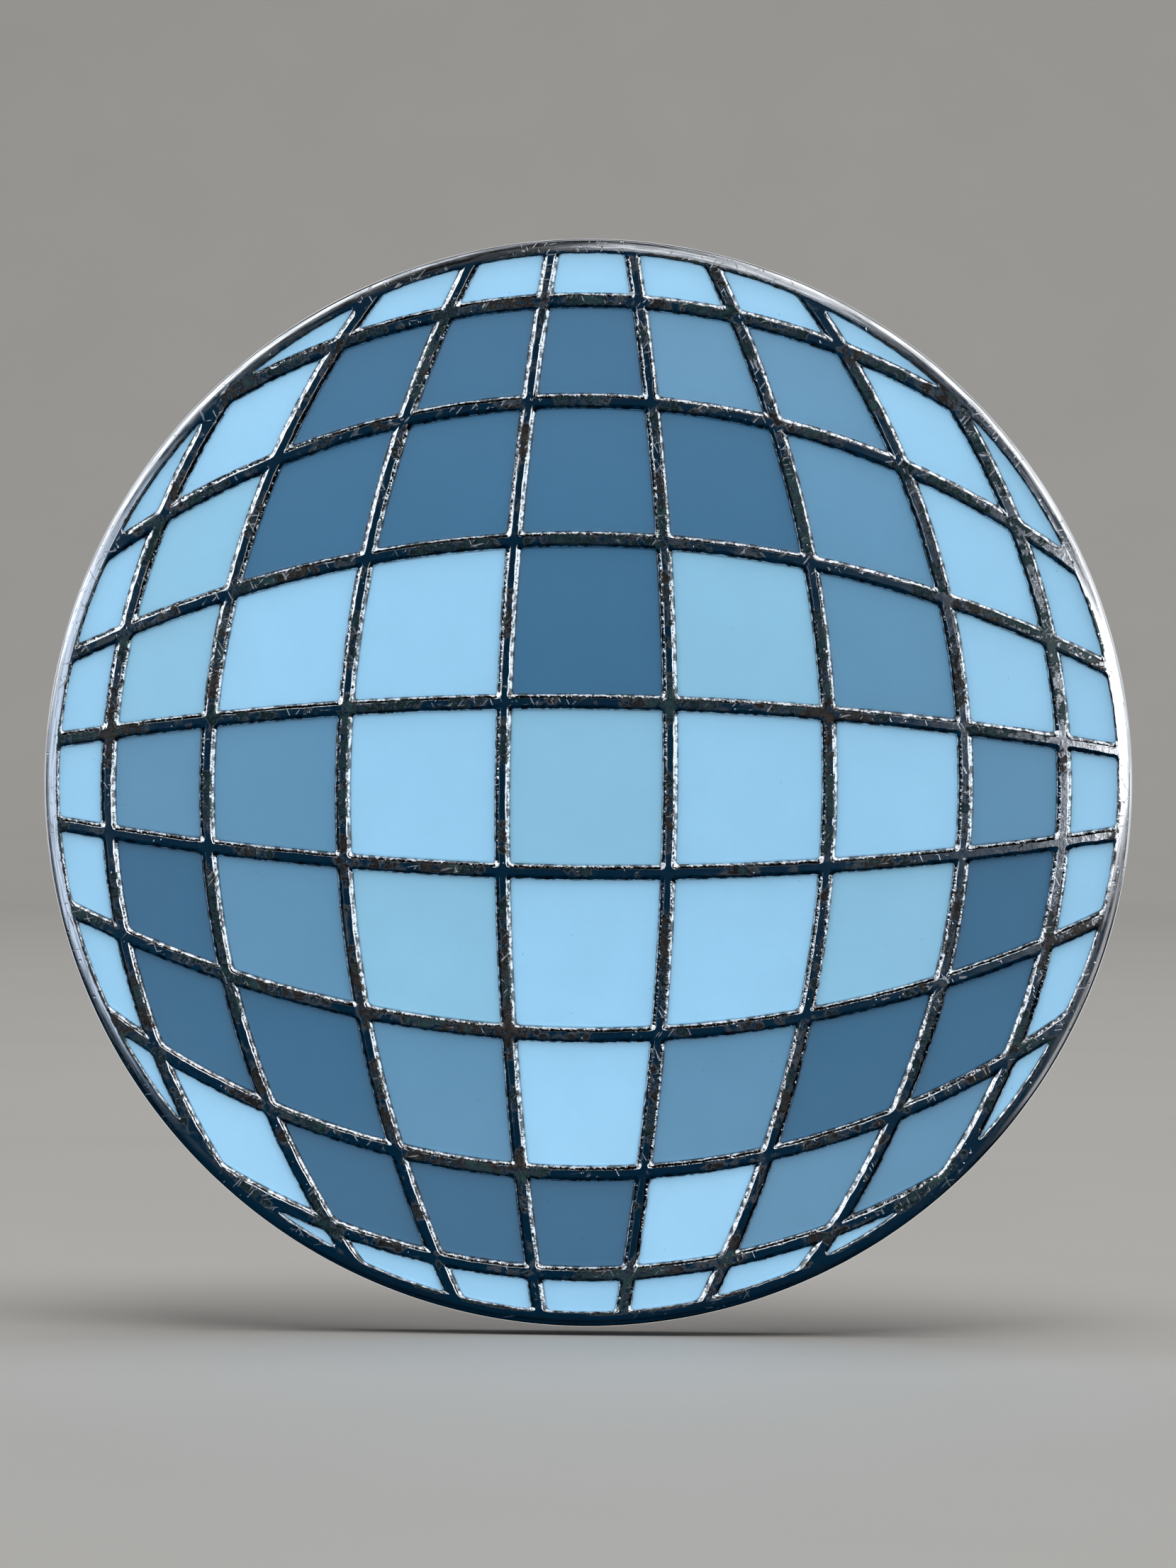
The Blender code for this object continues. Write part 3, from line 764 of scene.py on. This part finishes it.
class PINBADGE_OT_disc(bpy.types.Operator):
    """Struck disc with its walls, rounded rim and sandblasted back"""

    bl_idname = "pin_badge.disc"
    bl_label = "Struck Disc"

    def execute(self, context):
        sizes = context.scene.pin_badge_sizes
        grid = Grid(context.scene.pin_badge_grid, sizes)
        radius, top = DISC_HIGH.x, -DISC_LOW.y
        surface = Surface(front_place)
        around = rays(RIM_POINTS)
        crown = []
        for out, height, slope in self.crown_profile(sizes, radius, top):
            crown.append(surface.ring(circle(out, RIM_POINTS), height, slope, around))
        crown.append(surface.ring(circle(radius, RIM_POINTS), sizes.back_bevel, math.radians(100.0), around))
        back_edge = circle(radius - sizes.back_bevel, RIM_POINTS)
        crown.append(surface.ring(back_edge, 0.0, math.radians(180.0), around))
        for one, other in zip(crown, crown[1:]):
            surface.join(one, other)
        holes = [
            pocket_rings(surface, grid, sizes, column, row, top) for column, row, _, _ in grid.cells()
        ]
        surface.fill([crown[0], *holes])

        seats = []
        straight_back = math.radians(180.0)
        for side in SIDES:
            low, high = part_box(f"post_{side}")
            centre = ((low.x + high.x) / 2, (low.z + high.z) / 2)
            plan = circle(sizes.seat_radius, SEAT_POINTS, centre)
            mouth = surface.ring(plan, 0.0, straight_back, rays(SEAT_POINTS))
            floor = surface.ring(plan, sizes.seat_depth, straight_back, rays(SEAT_POINTS))
            surface.join(mouth, floor, 1)
            surface.fill([floor], 1)
            seats.append(mouth)
        surface.fill([crown[-1], *seats], 1)

        colours = context.scene.pin_badge_colours
        disc = surface.to_object("struck_disc", [polished_nickel(colours), sandblasted_nickel(colours)])
        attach(disc, "badge")
        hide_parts("base_plate")
        return {"FINISHED"}

    def crown_profile(self, sizes, radius, top):
        """(radius, height, slope) from the flat of the rim over its sloping band and round outer edge."""
        inner = radius - sizes.edge_width - sizes.crown_width
        tilt = sizes.crown_start
        height = top
        profile = [(inner - CREASE, top, 0.0), (inner, top, tilt)]
        band = sizes.crown_width / CROWN_STEPS
        for step in range(1, CROWN_STEPS + 1):
            last_tilt = tilt
            tilt = sizes.crown_start + (sizes.crown_end - sizes.crown_start) * step / CROWN_STEPS
            height -= band * math.tan((last_tilt + tilt) / 2)
            profile.append((inner + band * step, height, tilt))
        for step in range(1, CROWN_STEPS + 1):
            turn = tilt + (math.radians(90.0) - tilt) * step / CROWN_STEPS
            share = (math.sin(turn) - math.sin(tilt)) / (1.0 - math.sin(tilt))
            fall = sizes.edge_drop * (math.cos(tilt) - math.cos(turn))
            slope = math.atan2(sizes.edge_drop * math.sin(turn), sizes.edge_width * math.cos(turn))
            out = radius - sizes.edge_width * (1.0 - share)
            profile.append((out, height - fall, slope))
        return profile


class PINBADGE_OT_enamel(bpy.types.Operator):
    """Enamel fills, one piece for each tone, with the narrow cells around the rim among them"""

    bl_idname = "pin_badge.enamel"
    bl_label = "Enamel Fills"

    def execute(self, context):
        sizes = context.scene.pin_badge_sizes
        colours = context.scene.pin_badge_colours
        grid = Grid(context.scene.pin_badge_grid, sizes)
        floor = -DISC_LOW.y - sizes.pocket_depth
        for letter, tone in TONE_NAMES.items():
            surface = Surface(front_place)
            replaced = []
            for column, row, cell_letter, node in grid.cells():
                if cell_letter != letter:
                    continue
                self.fill_cell(surface, grid, sizes, column, row, floor)
                if node:
                    replaced.append(node)
            base = tuple(getattr(colours, tone))
            piece = surface.to_object(f"enamel_{tone}_fills", [satin_enamel(tone, base, SHEEN_PAINTED_BY_TONE[tone])])
            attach(piece, "badge")
            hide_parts(*replaced)
        return {"FINISHED"}

    def fill_cell(self, surface, grid, sizes, column, row, floor):
        width = sizes.meniscus_width
        outline = grid.outline(column, row, ENAMEL_CLEARANCE)
        foot = floor + ENAMEL_CLEARANCE
        rings = [surface.ring(outline, foot, math.radians(100.0), outward_of(outline))]
        for share in MENISCUS_SHARES:
            outline = grid.outline(column, row, ENAMEL_CLEARANCE + width * share)
            height = ENAMEL_TOP + sizes.meniscus_rise * (1.0 - share) ** 2
            slope = math.atan2(2 * sizes.meniscus_rise * (1.0 - share), width)
            inward = [(-dx, -dup) for dx, dup in outward_of(outline)]
            rings.append(surface.ring(outline, height, slope, inward))
        for one, other in zip(rings, rings[1:]):
            surface.join(one, other)
        surface.fill([rings[0]])
        surface.fill([rings[-1]])


# Posts and clutches; their own plan has its third axis pointing away from the back face

POST_STEPS = 40
SOLDER_STEPS = 64
PLATE_STEPS = 96
HOLE_STEPS = 32
LEAF_STEPS = 30
LEAF_ACROSS = 14
BARREL_STEPS = 36
HOLE_TOOL_LENGTH = 8.0 * MM


def back_place(centre):
    """Placing function for a piece that stands on the back at a point in the world."""

    def place(x, across, height):
        return Vector((centre.x + x, centre.y + height, centre.z - across))

    return place


def turned(profile, steps, place, closed=False, wobble=None):
    """Bmesh of (radius, height) points spun about the piece's own axis."""
    bm = bmesh.new()
    rings = []
    for index, (radius, height) in enumerate(profile):
        ring = []
        for x, across in circle(1.0, steps):
            reach = radius + (wobble(index, x, across) if wobble else 0.0)
            ring.append(bm.verts.new(place(x * reach, across * reach, height)))
        rings.append(ring)
    pairs = list(zip(rings, rings[1:])) + ([(rings[-1], rings[0])] if closed else [])
    for one, other in pairs:
        for index in range(steps):
            after = (index + 1) % steps
            bm.faces.new((one[index], one[after], other[after], other[index]))
    if not closed:
        bm.faces.new(rings[0])
        bm.faces.new(rings[-1])
    return bm


def finished(name, bm, materials, sharp=40.0):
    bmesh.ops.recalc_face_normals(bm, faces=bm.faces)
    mesh = bpy.data.meshes.new(name)
    bm.to_mesh(mesh)
    bm.free()
    mesh.shade_smooth()
    mesh.set_sharp_from_angle(angle=math.radians(sharp))
    return new_object(name, mesh, materials)


def rounded(centre, radius, start, end, steps=5):
    """Profile points along an arc between two angles in degrees."""
    angles = [math.radians(start + (end - start) * step / steps) for step in range(steps + 1)]
    return [(centre[0] + radius * math.cos(a), centre[1] + radius * math.sin(a)) for a in angles]


def post_centre(side):
    low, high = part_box(f"post_{side}")
    return Vector(((low.x + high.x) / 2, 0.0, (low.z + high.z) / 2))


class PINBADGE_OT_posts(bpy.types.Operator):
    """Pointed posts with a grip notch and a flanged foot, and the solder that holds them"""

    bl_idname = "pin_badge.posts"
    bl_label = "Posts and Solder"

    def execute(self, context):
        hardware = context.scene.pin_badge_hardware
        colours = context.scene.pin_badge_colours
        metal = drawn_nickel("post_nickel", tuple(colours.post), "Y")
        solder = dull_solder(colours)
        for side in SIDES:
            centre = post_centre(side)
            self.make_post(side, centre, hardware, metal)
            self.make_solder(side, centre, hardware, solder)
        return {"FINISHED"}

    def make_post(self, side, centre, hardware, metal):
        radius, flange, top = hardware.post_radius, hardware.flange_radius, hardware.flange_top
        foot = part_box(f"post_{side}")[0].y
        edge = 0.10 * MM
        tip = hardware.post_length
        notch_end = tip - hardware.notch_from_tip
        notch_start = notch_end - hardware.notch_length
        neck = radius - hardware.notch_depth
        slope = hardware.notch_depth
        profile = [(flange - edge, foot), (flange, foot + edge)]
        profile += rounded((flange - edge, top - edge), edge, 0.0, 90.0)
        profile += rounded((radius + edge, top + edge), edge, 270.0, 180.0)
        profile += [
            (radius, notch_start), (neck + slope * 0.2, notch_start + slope * 0.8),
            (neck, notch_start + slope * 1.3), (neck, notch_end - slope * 1.3),
            (neck + slope * 0.2, notch_end - slope * 0.8), (radius, notch_end),
        ]
        for share in (0.0, 0.25, 0.5, 0.75, 0.93):
            bulge = 1.0 - share**1.15
            profile.append((radius * max(bulge, 0.12), tip - hardware.tip_length * (1.0 - share)))
        profile.append((radius * 0.07, tip - 0.02 * MM))
        profile.append((radius * 0.02, tip))
        post = finished(f"pointed_post_{side}", turned(profile, POST_STEPS, back_place(centre)), [metal])
        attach(post, "badge")
        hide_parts(f"post_{side}")

    def make_solder(self, side, centre, hardware, solder):
        inner = hardware.flange_radius + 0.01 * MM
        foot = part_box(f"solder_{side}")[0].y
        top = hardware.solder_height
        seed = centre.x / MM

        def wobble(index, x, across):
            if index in (0, 1):
                return 0.0
            spot = Vector((x * 1.6, across * 1.6, index * 0.35 + seed))
            return noise.noise(spot) * 0.14 * MM - 0.05 * MM

        profile = [(inner, foot), (inner, top)]
        for share in (0.15, 0.35, 0.6, 0.85, 1.0):
            height = foot + (top - foot) * (1.0 - share) ** 1.6
            profile.append((inner + hardware.solder_width * share, height))
        bm = turned(profile, SOLDER_STEPS, back_place(centre), closed=True, wobble=wobble)
        piece = finished(f"solder_fillet_{side}", bm, [solder])
        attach(piece, "badge")
        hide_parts(f"solder_{side}")


def clutch_base(side):
    """Where the axis of a clutch meets the cloth side of its plate."""
    low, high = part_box(f"clutch_{side}_plate")
    centre = post_centre(side)
    return Vector((centre.x, low.y, centre.z))


def hinge_of(side, wing):
    joint = JOINTS[f"clutch_{side}_wing_{wing}_pinch"]
    return Vector(joint["pos_m"])


class PINBADGE_OT_clutch_plates(bpy.types.Operator):
    """Dished clutch plates with a rolled rim, a collar round the bore and two lugs"""

    bl_idname = "pin_badge.clutch_plates"
    bl_label = "Clutch Plates"

    def execute(self, context):
        hardware = context.scene.pin_badge_hardware
        metal = drawn_nickel("clutch_nickel", tuple(context.scene.pin_badge_colours.clutch), "X", 0.28)
        for side in SIDES:
            base = clutch_base(side)
            plate = self.make_plate(side, base, hardware, metal)
            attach(plate, f"clutch_{side}")
            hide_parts(f"clutch_{side}_plate")
        return {"FINISHED"}

    def make_plate(self, side, base, hardware, metal):
        place = back_place(base)
        bm = turned(self.plate_profile(side, hardware), PLATE_STEPS, place, closed=True)
        plate = finished(f"stamped_plate_{side}", bm, [metal])
        hinge = hinge_of(side, "right")
        hinge_x, hinge_up = abs(hinge.x - base.x), hinge.y - base.y
        lugs = finished(f"lug_tool_{side}", self.lugs(place, hardware, hinge_x, hinge_up), [metal])
        holes = finished(f"hole_tool_{side}", self.holes(place, hardware, hinge_x, hinge_up), [metal])
        for tool, operation in ((lugs, "UNION"), (holes, "DIFFERENCE")):
            modifier = plate.modifiers.new(tool.name, "BOOLEAN")
            modifier.operation = operation
            modifier.object = tool
            modifier.solver = "EXACT"
        bake_modifiers(plate)
        for tool in (lugs, holes):
            bpy.data.objects.remove(tool)
        plate.data.set_sharp_from_angle(angle=math.radians(35.0))
        return plate

    def plate_profile(self, side, hardware):
        """(radius, height) round the section of a plate, from the cloth side of its bore."""
        low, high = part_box(f"clutch_{side}_plate")
        rim = (high.x - low.x) / 2
        bore, thick, roll = hardware.bore_radius, hardware.plate_thickness, 0.2 * MM
        inside = rim - 2 * roll
        return [
            (bore + 0.06 * MM, 0.0), (rim * 0.45, 0.0), (rim * 0.50, 0.03 * MM),
            (rim * 0.66, 0.03 * MM), (rim * 0.71, 0.0),
            *rounded((rim - roll, roll), roll, 270.0, 360.0),
            *rounded((rim - roll, hardware.plate_rim - roll), roll, 0.0, 180.0, 8),
            *rounded((inside - roll, thick + roll), roll, 360.0, 270.0),
            (rim * 0.72, thick), (rim * 0.67, thick + 0.07 * MM),
            (rim * 0.50, thick + 0.07 * MM), (rim * 0.45, thick),
            (bore + 0.34 * MM, thick), (bore + 0.26 * MM, thick + 0.10 * MM),
            (bore + 0.06 * MM, thick + 0.12 * MM), (bore, thick + 0.06 * MM), (bore, 0.06 * MM),
        ]

    def lugs(self, place, hardware, hinge_x, hinge_up):
        """The two upright slabs that hold both hinges."""
        thick, margin = hardware.plate_thickness, hardware.lug_margin
        round_by = margin * 0.9
        span, top = hinge_x + margin, hinge_up + margin
        outline = [
            (-span - 0.12 * MM, thick * 0.5), (span + 0.12 * MM, thick * 0.5),
            (span + 0.03 * MM, thick + 0.15 * MM),
            *rounded((span - round_by, top - round_by), round_by, 0.0, 90.0, 8),
            *rounded((-span + round_by, top - round_by), round_by, 90.0, 180.0, 8),
            (-span - 0.03 * MM, thick + 0.15 * MM),
        ]
        lugs = bmesh.new()
        for near in (hardware.lug_inner, -hardware.lug_inner - hardware.lug_thickness):
            slab = [
                [lugs.verts.new(place(x, across, height)) for x, height in outline]
                for across in (near, near + hardware.lug_thickness)
            ]
            caps = [lugs.faces.new(ring) for ring in slab]
            for index in range(len(outline)):
                after = (index + 1) % len(outline)
                lugs.faces.new((slab[0][index], slab[0][after], slab[1][after], slab[1][index]))
            edges = [edge for face in caps for edge in face.edges]
            bmesh.ops.bevel(
                lugs, geom=edges, offset=0.05 * MM, segments=2, affect="EDGES", profile=0.5
            )
        return lugs

    def holes(self, place, hardware, hinge_x, hinge_up):
        """The rods that cut the hinge holes through both lugs."""
        radius = hardware.trunnion_radius + hardware.hole_clearance
        holes = bmesh.new()
        for way in (-1, 1):
            centre = place(way * hinge_x, 0.0, hinge_up)
            bmesh.ops.create_cone(
                holes, cap_ends=True, segments=HOLE_STEPS, radius1=radius, radius2=radius,
                depth=HOLE_TOOL_LENGTH, matrix=Matrix.Translation(centre),
            )
        return holes


def bake_modifiers(obj):
    """Leaves the object with its evaluated mesh and no modifiers."""
    evaluated = obj.evaluated_get(bpy.context.evaluated_depsgraph_get())
    mesh = bpy.data.meshes.new_from_object(evaluated)
    obj.modifiers.clear()
    obj.data = mesh


class PINBADGE_OT_spring_wings(bpy.types.Operator):
    """Bent spring leaves with jaws, rolled knuckles and dished ears"""

    bl_idname = "pin_badge.spring_wings"
    bl_label = "Spring Wings"

    def execute(self, context):
        hardware = context.scene.pin_badge_hardware
        metal = drawn_nickel("spring_nickel", tuple(context.scene.pin_badge_colours.spring), "Z", 0.22)
        for side in SIDES:
            for way, wing in ((-1, "left"), (1, "right")):
                piece = self.make_wing(side, way, wing, hardware, metal)
                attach(piece, f"clutch_{side}_wing_{wing}")
                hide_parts(f"clutch_{side}_wing_{wing}")
        return {"FINISHED"}

    def spine(self, hardware, hinge_x, hinge_up):
        """(x, height, half width) along the middle of the leaf, from the jaw to the tip of the ear."""
        thick = hardware.leaf_thickness
        jaw_x = hardware.post_radius + hardware.jaw_gap + thick / 2
        jaw_low = hardware.plate_thickness + hardware.jaw_rise
        jaw_top = jaw_low + thick
        middle = (hardware.jaw_half_width + hardware.waist_half_width) / 2
        points = [
            (jaw_x, jaw_low, hardware.jaw_half_width),
            (jaw_x, jaw_top, hardware.jaw_half_width),
            ((jaw_x + hinge_x) / 2, (jaw_top + hinge_up) / 2, middle),
            (hinge_x, hinge_up, hardware.waist_half_width),
        ]
        ear_top = hardware.plate_thickness + hardware.ear_rise
        for step in range(1, LEAF_STEPS + 1):
            share = 0.985 * step / LEAF_STEPS
            lift = 0.65 * share + 0.35 * share**2
            x = hinge_x + (hardware.ear_reach - hinge_x) * share
            points.append((x, hinge_up + (ear_top - hinge_up) * lift, self.ear_width(hardware, share)))
        return points

    def ear_width(self, hardware, share):
        waist, ear = hardware.waist_half_width, hardware.ear_half_width
        if share > 0.60:
            return ear * math.sqrt(max(1.0 - ((share - 0.60) / 0.40) ** 2, 0.0))
        flare = max(share - 0.20, 0.0) / 0.40
        return waist + (ear - waist) * math.sin(math.radians(90.0) * flare) ** 2

    def make_wing(self, side, way, wing, hardware, metal):
        base = clutch_base(side)
        hinge = hinge_of(side, wing)
        bm = bmesh.new()
        self.add_leaf(bm, base, hinge, way, hardware)
        trunnion = 2 * (hardware.lug_inner + hardware.lug_thickness)
        self.add_barrel(bm, hinge, hardware.knuckle_radius, 2 * hardware.waist_half_width)
        self.add_barrel(bm, hinge, hardware.trunnion_radius, trunnion)
        return finished(f"spring_wing_{side}_{wing}", bm, [metal], sharp=38.0)

    def add_leaf(self, bm, base, hinge, way, hardware):
        """Two dished sheets either side of the spine, closed along their edges and ends."""
        place = back_place(base)
        spine = self.spine(hardware, abs(hinge.x - base.x), hinge.y - base.y)
        sheets = {1: [], -1: []}
        for index, (x, height, half) in enumerate(spine):
            before, after = spine[max(index - 1, 0)], spine[min(index + 1, len(spine) - 1)]
            along = Vector((after[0] - before[0], after[1] - before[1])).normalized()
            for face in (1, -1):
                row = []
                for step in range(LEAF_ACROSS + 1):
                    share = 2.0 * step / LEAF_ACROSS - 1.0
                    ear = max(half - hardware.waist_half_width, 0.0) / hardware.ear_half_width
                    dish = 0.22 * MM * ear * (1.0 - share**2)
                    edge = hardware.leaf_thickness / 2 * (1.0 - 0.35 * abs(share) ** 8)
                    shift = face * edge - dish
                    across = share * (half - 0.03 * MM * (1 if abs(share) < 1 else 0))
                    row.append(bm.verts.new(place(
                        way * (x - along.y * shift), across, height + along.x * shift
                    )))
                sheets[face].append(row)
        for rows in sheets.values():
            for one, other in zip(rows, rows[1:]):
                bridge(bm, one, other)
        upper, lower = sheets[1], sheets[-1]
        for end in (0, LEAF_ACROSS):
            bridge(bm, [row[end] for row in upper], [row[end] for row in lower])
        for end in (0, -1):
            bridge(bm, upper[end], lower[end])

    def add_barrel(self, bm, hinge, radius, long):
        """A rod along the hinge with its ends rounded."""
        made = bmesh.ops.create_cone(
            bm, cap_ends=True, segments=BARREL_STEPS, radius1=radius, radius2=radius, depth=long,
            matrix=Matrix.Translation(hinge),
        )
        ends = {edge for vert in made["verts"] for edge in vert.link_edges if is_end_edge(edge)}
        bmesh.ops.bevel(
            bm, geom=list(ends), offset=radius * 0.2, segments=3, affect="EDGES", profile=0.5
        )


def bridge(bm, one, other):
    """Faces between two open rows of points."""
    for index in range(len(one) - 1):
        bm.faces.new((one[index], one[index + 1], other[index + 1], other[index]))


def is_end_edge(edge):
    """True for an edge between the end cap of a barrel and its side."""
    sizes = sorted(len(face.verts) for face in edge.link_faces)
    return len(sizes) == 2 and sizes[0] == 4 and sizes[1] > 4


# Stage


def aim(obj, target):
    direction = Vector(target) - obj.location
    obj.rotation_euler = direction.to_track_quat("-Z", "Y").to_euler()


def towards(polar, off_axis):
    """Unit direction at an angle off the camera's axis, at a clock angle seen from the front."""
    return Vector((
        math.sin(off_axis) * math.cos(polar), -math.cos(off_axis), math.sin(off_axis) * math.sin(polar)
    ))


class PINBADGE_OT_stage(bpy.types.Operator):
    """Pale floor, soft light panels and the camera"""

    bl_idname = "pin_badge.stage"
    bl_label = "Stage"

    def execute(self, context):
        stage = context.scene.pin_badge_stage
        self.make_floor(stage, context.scene.pin_badge_colours)
        self.make_world(context.scene, stage, context.scene.pin_badge_colours)
        self.make_lights(stage)
        self.make_camera(context.scene, stage)
        return {"FINISHED"}

    def make_floor(self, stage, colours):
        """A board that sweeps up behind the badge."""
        level = DISC_LOW.z - stage.floor_gap
        near, far, turn, high, half_width, steps = -1.4, 0.55, 0.30, 1.3, 0.6, 24
        profile = [(near, level), (far, level)]
        for step in range(1, steps + 1):
            rise = math.radians(90.0) * step / steps
            profile.append((far + turn * math.sin(rise), level + turn * (1.0 - math.cos(rise))))
        profile.append((far + turn, level + high))
        points = [(x, y, z) for x in (-half_width, half_width) for y, z in profile]
        many = len(profile)
        faces = [(i, i + 1, many + i + 1, many + i) for i in range(many - 1)]
        mesh = bpy.data.meshes.new("floor")
        mesh.from_pydata(points, [], faces)
        mesh.shade_smooth()
        floor = new_object("floor", mesh, [pale_floor(colours)])
        floor.visible_glossy = False
        floor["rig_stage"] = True

    def make_world(self, scene, stage, colours):
        """What shows past the floor; it lights nothing."""
        world = bpy.data.worlds.new("studio")
        scene.world = world
        world.use_nodes = True
        background = world.node_tree.nodes["Background"]
        background.inputs["Color"].default_value = (*colours.floor, 1.0)
        background.inputs["Strength"].default_value = stage.backdrop
        world.cycles_visibility.diffuse = False
        world.cycles_visibility.glossy = False

    def make_lights(self, stage):
        """Panels that the badge mirrors, washes that it doesn't, and one light above for the floor."""
        pieces = bpy.data.collections.new("badge_pieces")
        for obj in bpy.context.scene.objects:
            if obj.type == "MESH" and not obj.hide_render and "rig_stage" not in obj:
                pieces.objects.link(obj)
        reach = stage.panel_distance
        # name, clock angle, angle off the axis, spread off the axis, spread round it, brightness, tint
        panels = (
            ("rim_right", 8.0, 16.0, 14.0, 7.0, 3.2, (1.0, 1.0, 1.0)),
            ("rim_upper", 76.0, 18.5, 7.0, 9.0, 1.1, (0.95, 0.98, 1.0)),
            ("rim_left", 178.0, 17.0, 11.0, 16.0, 1.15, (0.74, 0.86, 1.0)),
            ("edge_right", 42.0, 23.5, 6.0, 30.0, 2.0, (1.0, 1.0, 1.0)),
            ("edge_low", 338.0, 23.5, 6.0, 11.0, 0.5, (1.0, 1.0, 1.0)),
            ("edge_left", 138.0, 23.5, 6.0, 36.0, 2.0, (0.95, 0.98, 1.0)),
            ("right_near", 2.0, 40.0, 28.0, 8.0, 1.7, (0.84, 0.95, 1.0)),
            ("right_far", 2.0, 72.0, 36.0, 26.0, 1.5, (0.86, 0.95, 1.0)),
            ("upper_right", 50.0, 66.0, 44.0, 60.0, 1.55, (0.95, 0.98, 1.0)),
            ("upper_left", 146.0, 58.0, 52.0, 40.0, 1.8, (0.92, 0.97, 1.0)),
            ("top", 98.0, 78.0, 26.0, 30.0, 1.3, (0.88, 0.96, 1.0)),
            ("left_far", 182.0, 88.0, 8.0, 26.0, 1.5, (0.92, 0.97, 1.0)),
            ("left_card", 190.0, 50.0, 56.0, 90.0, 0.035, (0.02, 0.45, 1.0)),
            ("low_card", 272.0, 50.0, 56.0, 90.0, 0.035, (0.02, 0.45, 1.0)),
            ("front_card", 270.0, 3.0, 34.0, 34.0, 0.045, (0.02, 0.45, 1.0)),
        )
        for name, clock, off_axis, wide, tall, brightness, tint in panels:
            direction = towards(math.radians(clock), math.radians(off_axis))
            size_x = 2 * reach * math.tan(math.radians(wide) / 2)
            size_y = 2 * reach * math.tan(math.radians(tall) / 2)
            light = self.add_panel(name, direction * reach, size_x, size_y, brightness, tint)
            radial = Vector((math.cos(math.radians(clock)), 0.0, math.sin(math.radians(clock))))
            face_along(light, direction, radial)
            light.light_linking.receiver_collection = pieces
        washes = (
            ("wash_top", (0.0, -0.018, 0.0175), 0.040, 0.004, 3.6),
            ("wash_bottom", (0.0, -0.018, -0.0165), 0.050, 0.004, 3.6),
            ("wash_left", (-0.0175, -0.018, 0.0), 0.004, 0.030, 2.2),
            ("wash_right", (0.0175, -0.018, 0.0), 0.004, 0.030, 1.0),
            ("back_wall", (0.0, 0.60, 0.10), 1.50, 1.00, 0.80),
            ("back_left", (-0.55, 0.20, 0.15), 0.50, 0.50, 0.60),
            ("back_right", (0.55, 0.20, 0.15), 0.50, 0.50, 0.90),
        )
        for name, spot, size_x, size_y, brightness in washes:
            light = self.add_panel(name, Vector(spot), size_x, size_y, brightness, (0.98, 0.99, 1.0))
            light.visible_glossy = name.startswith("back")
            light.light_linking.receiver_collection = pieces
            aim(light, (0.0, 0.0, 0.0) if name.startswith("back") else (spot[0], 0.0, spot[2]))
        overhead = self.add_panel("overhead", Vector((0.10, -0.10, 1.0)), 0.9, 0.9, 2.8, (1.0, 0.99, 0.97))
        overhead.visible_glossy = False
        aim(overhead, (0.0, 0.15, 0.0))

    def add_panel(self, name, spot, size_x, size_y, brightness, tint):
        data = bpy.data.lights.new(name, "AREA")
        data.shape = "RECTANGLE"
        data.size = size_x
        data.size_y = size_y
        data.energy = brightness * math.pi * size_x * size_y
        data.color = tint
        light = bpy.data.objects.new(name, data)
        light.location = spot
        light.visible_camera = False
        bpy.context.scene.collection.objects.link(light)
        return light

    def make_camera(self, scene, stage):
        data = bpy.data.cameras.new("camera")
        data.sensor_width = 36.0
        data.lens = data.sensor_width * stage.camera_distance / stage.frame_height
        data.clip_start = 0.005
        data.clip_end = 10.0
        camera = bpy.data.objects.new("camera", data)
        widest = DISC_LOW.y + 0.4 * MM
        camera.location = (stage.aim_right, widest - stage.camera_distance, stage.aim_up)
        level = Matrix.Rotation(math.radians(90.0), 4, "X")
        camera.rotation_euler = (level @ Matrix.Rotation(stage.camera_roll, 4, "Z")).to_euler()
        scene.collection.objects.link(camera)
        scene.camera = camera
        scene.view_settings.view_transform = "Standard"


def face_along(light, direction, radial):
    """Points a panel back at the badge, with its width along the line that leads away from the axis."""
    back = direction.normalized()
    wide = (radial - back * radial.dot(back)).normalized()
    tall = back.cross(wide)
    light.rotation_euler = Matrix((wide, tall, back)).transposed().to_euler()


class VIEW3D_PT_pin_badge(bpy.types.Panel):
    """Builders and settings of the pin badge"""

    bl_idname = "VIEW3D_PT_pin_badge"
    bl_label = "Pin Badge"
    bl_space_type = "VIEW_3D"
    bl_region_type = "UI"
    bl_category = "Pin Badge"

    def draw(self, context):
        for operator in OPERATORS:
            self.layout.operator(operator.bl_idname)
        for name, group in PROPERTY_GROUPS.items():
            box = self.layout.box()
            box.label(text=group.__doc__)
            for field in group.__annotations__:
                box.prop(getattr(context.scene, name), field)


OPERATORS = (
    PINBADGE_OT_disc,
    PINBADGE_OT_enamel,
    PINBADGE_OT_posts,
    PINBADGE_OT_clutch_plates,
    PINBADGE_OT_spring_wings,
    PINBADGE_OT_stage,
)


def register():
    for cls in (*PROPERTY_GROUPS.values(), *OPERATORS, VIEW3D_PT_pin_badge):
        bpy.utils.register_class(cls)
    for name, group in PROPERTY_GROUPS.items():
        setattr(bpy.types.Scene, name, PointerProperty(type=group))


def unregister():
    for name in PROPERTY_GROUPS:
        delattr(bpy.types.Scene, name)
    for cls in (VIEW3D_PT_pin_badge, *reversed(OPERATORS), *PROPERTY_GROUPS.values()):
        bpy.utils.unregister_class(cls)


def main():
    register()
    for obj in list(bpy.data.objects):
        if obj.name in ("Cube", "Light", "Camera"):
            bpy.data.objects.remove(obj)
    bpy.ops.pin_badge.disc()
    bpy.ops.pin_badge.enamel()
    bpy.ops.pin_badge.posts()
    bpy.ops.pin_badge.clutch_plates()
    bpy.ops.pin_badge.spring_wings()
    bpy.ops.pin_badge.stage()


if __name__ == "__main__":
    main()
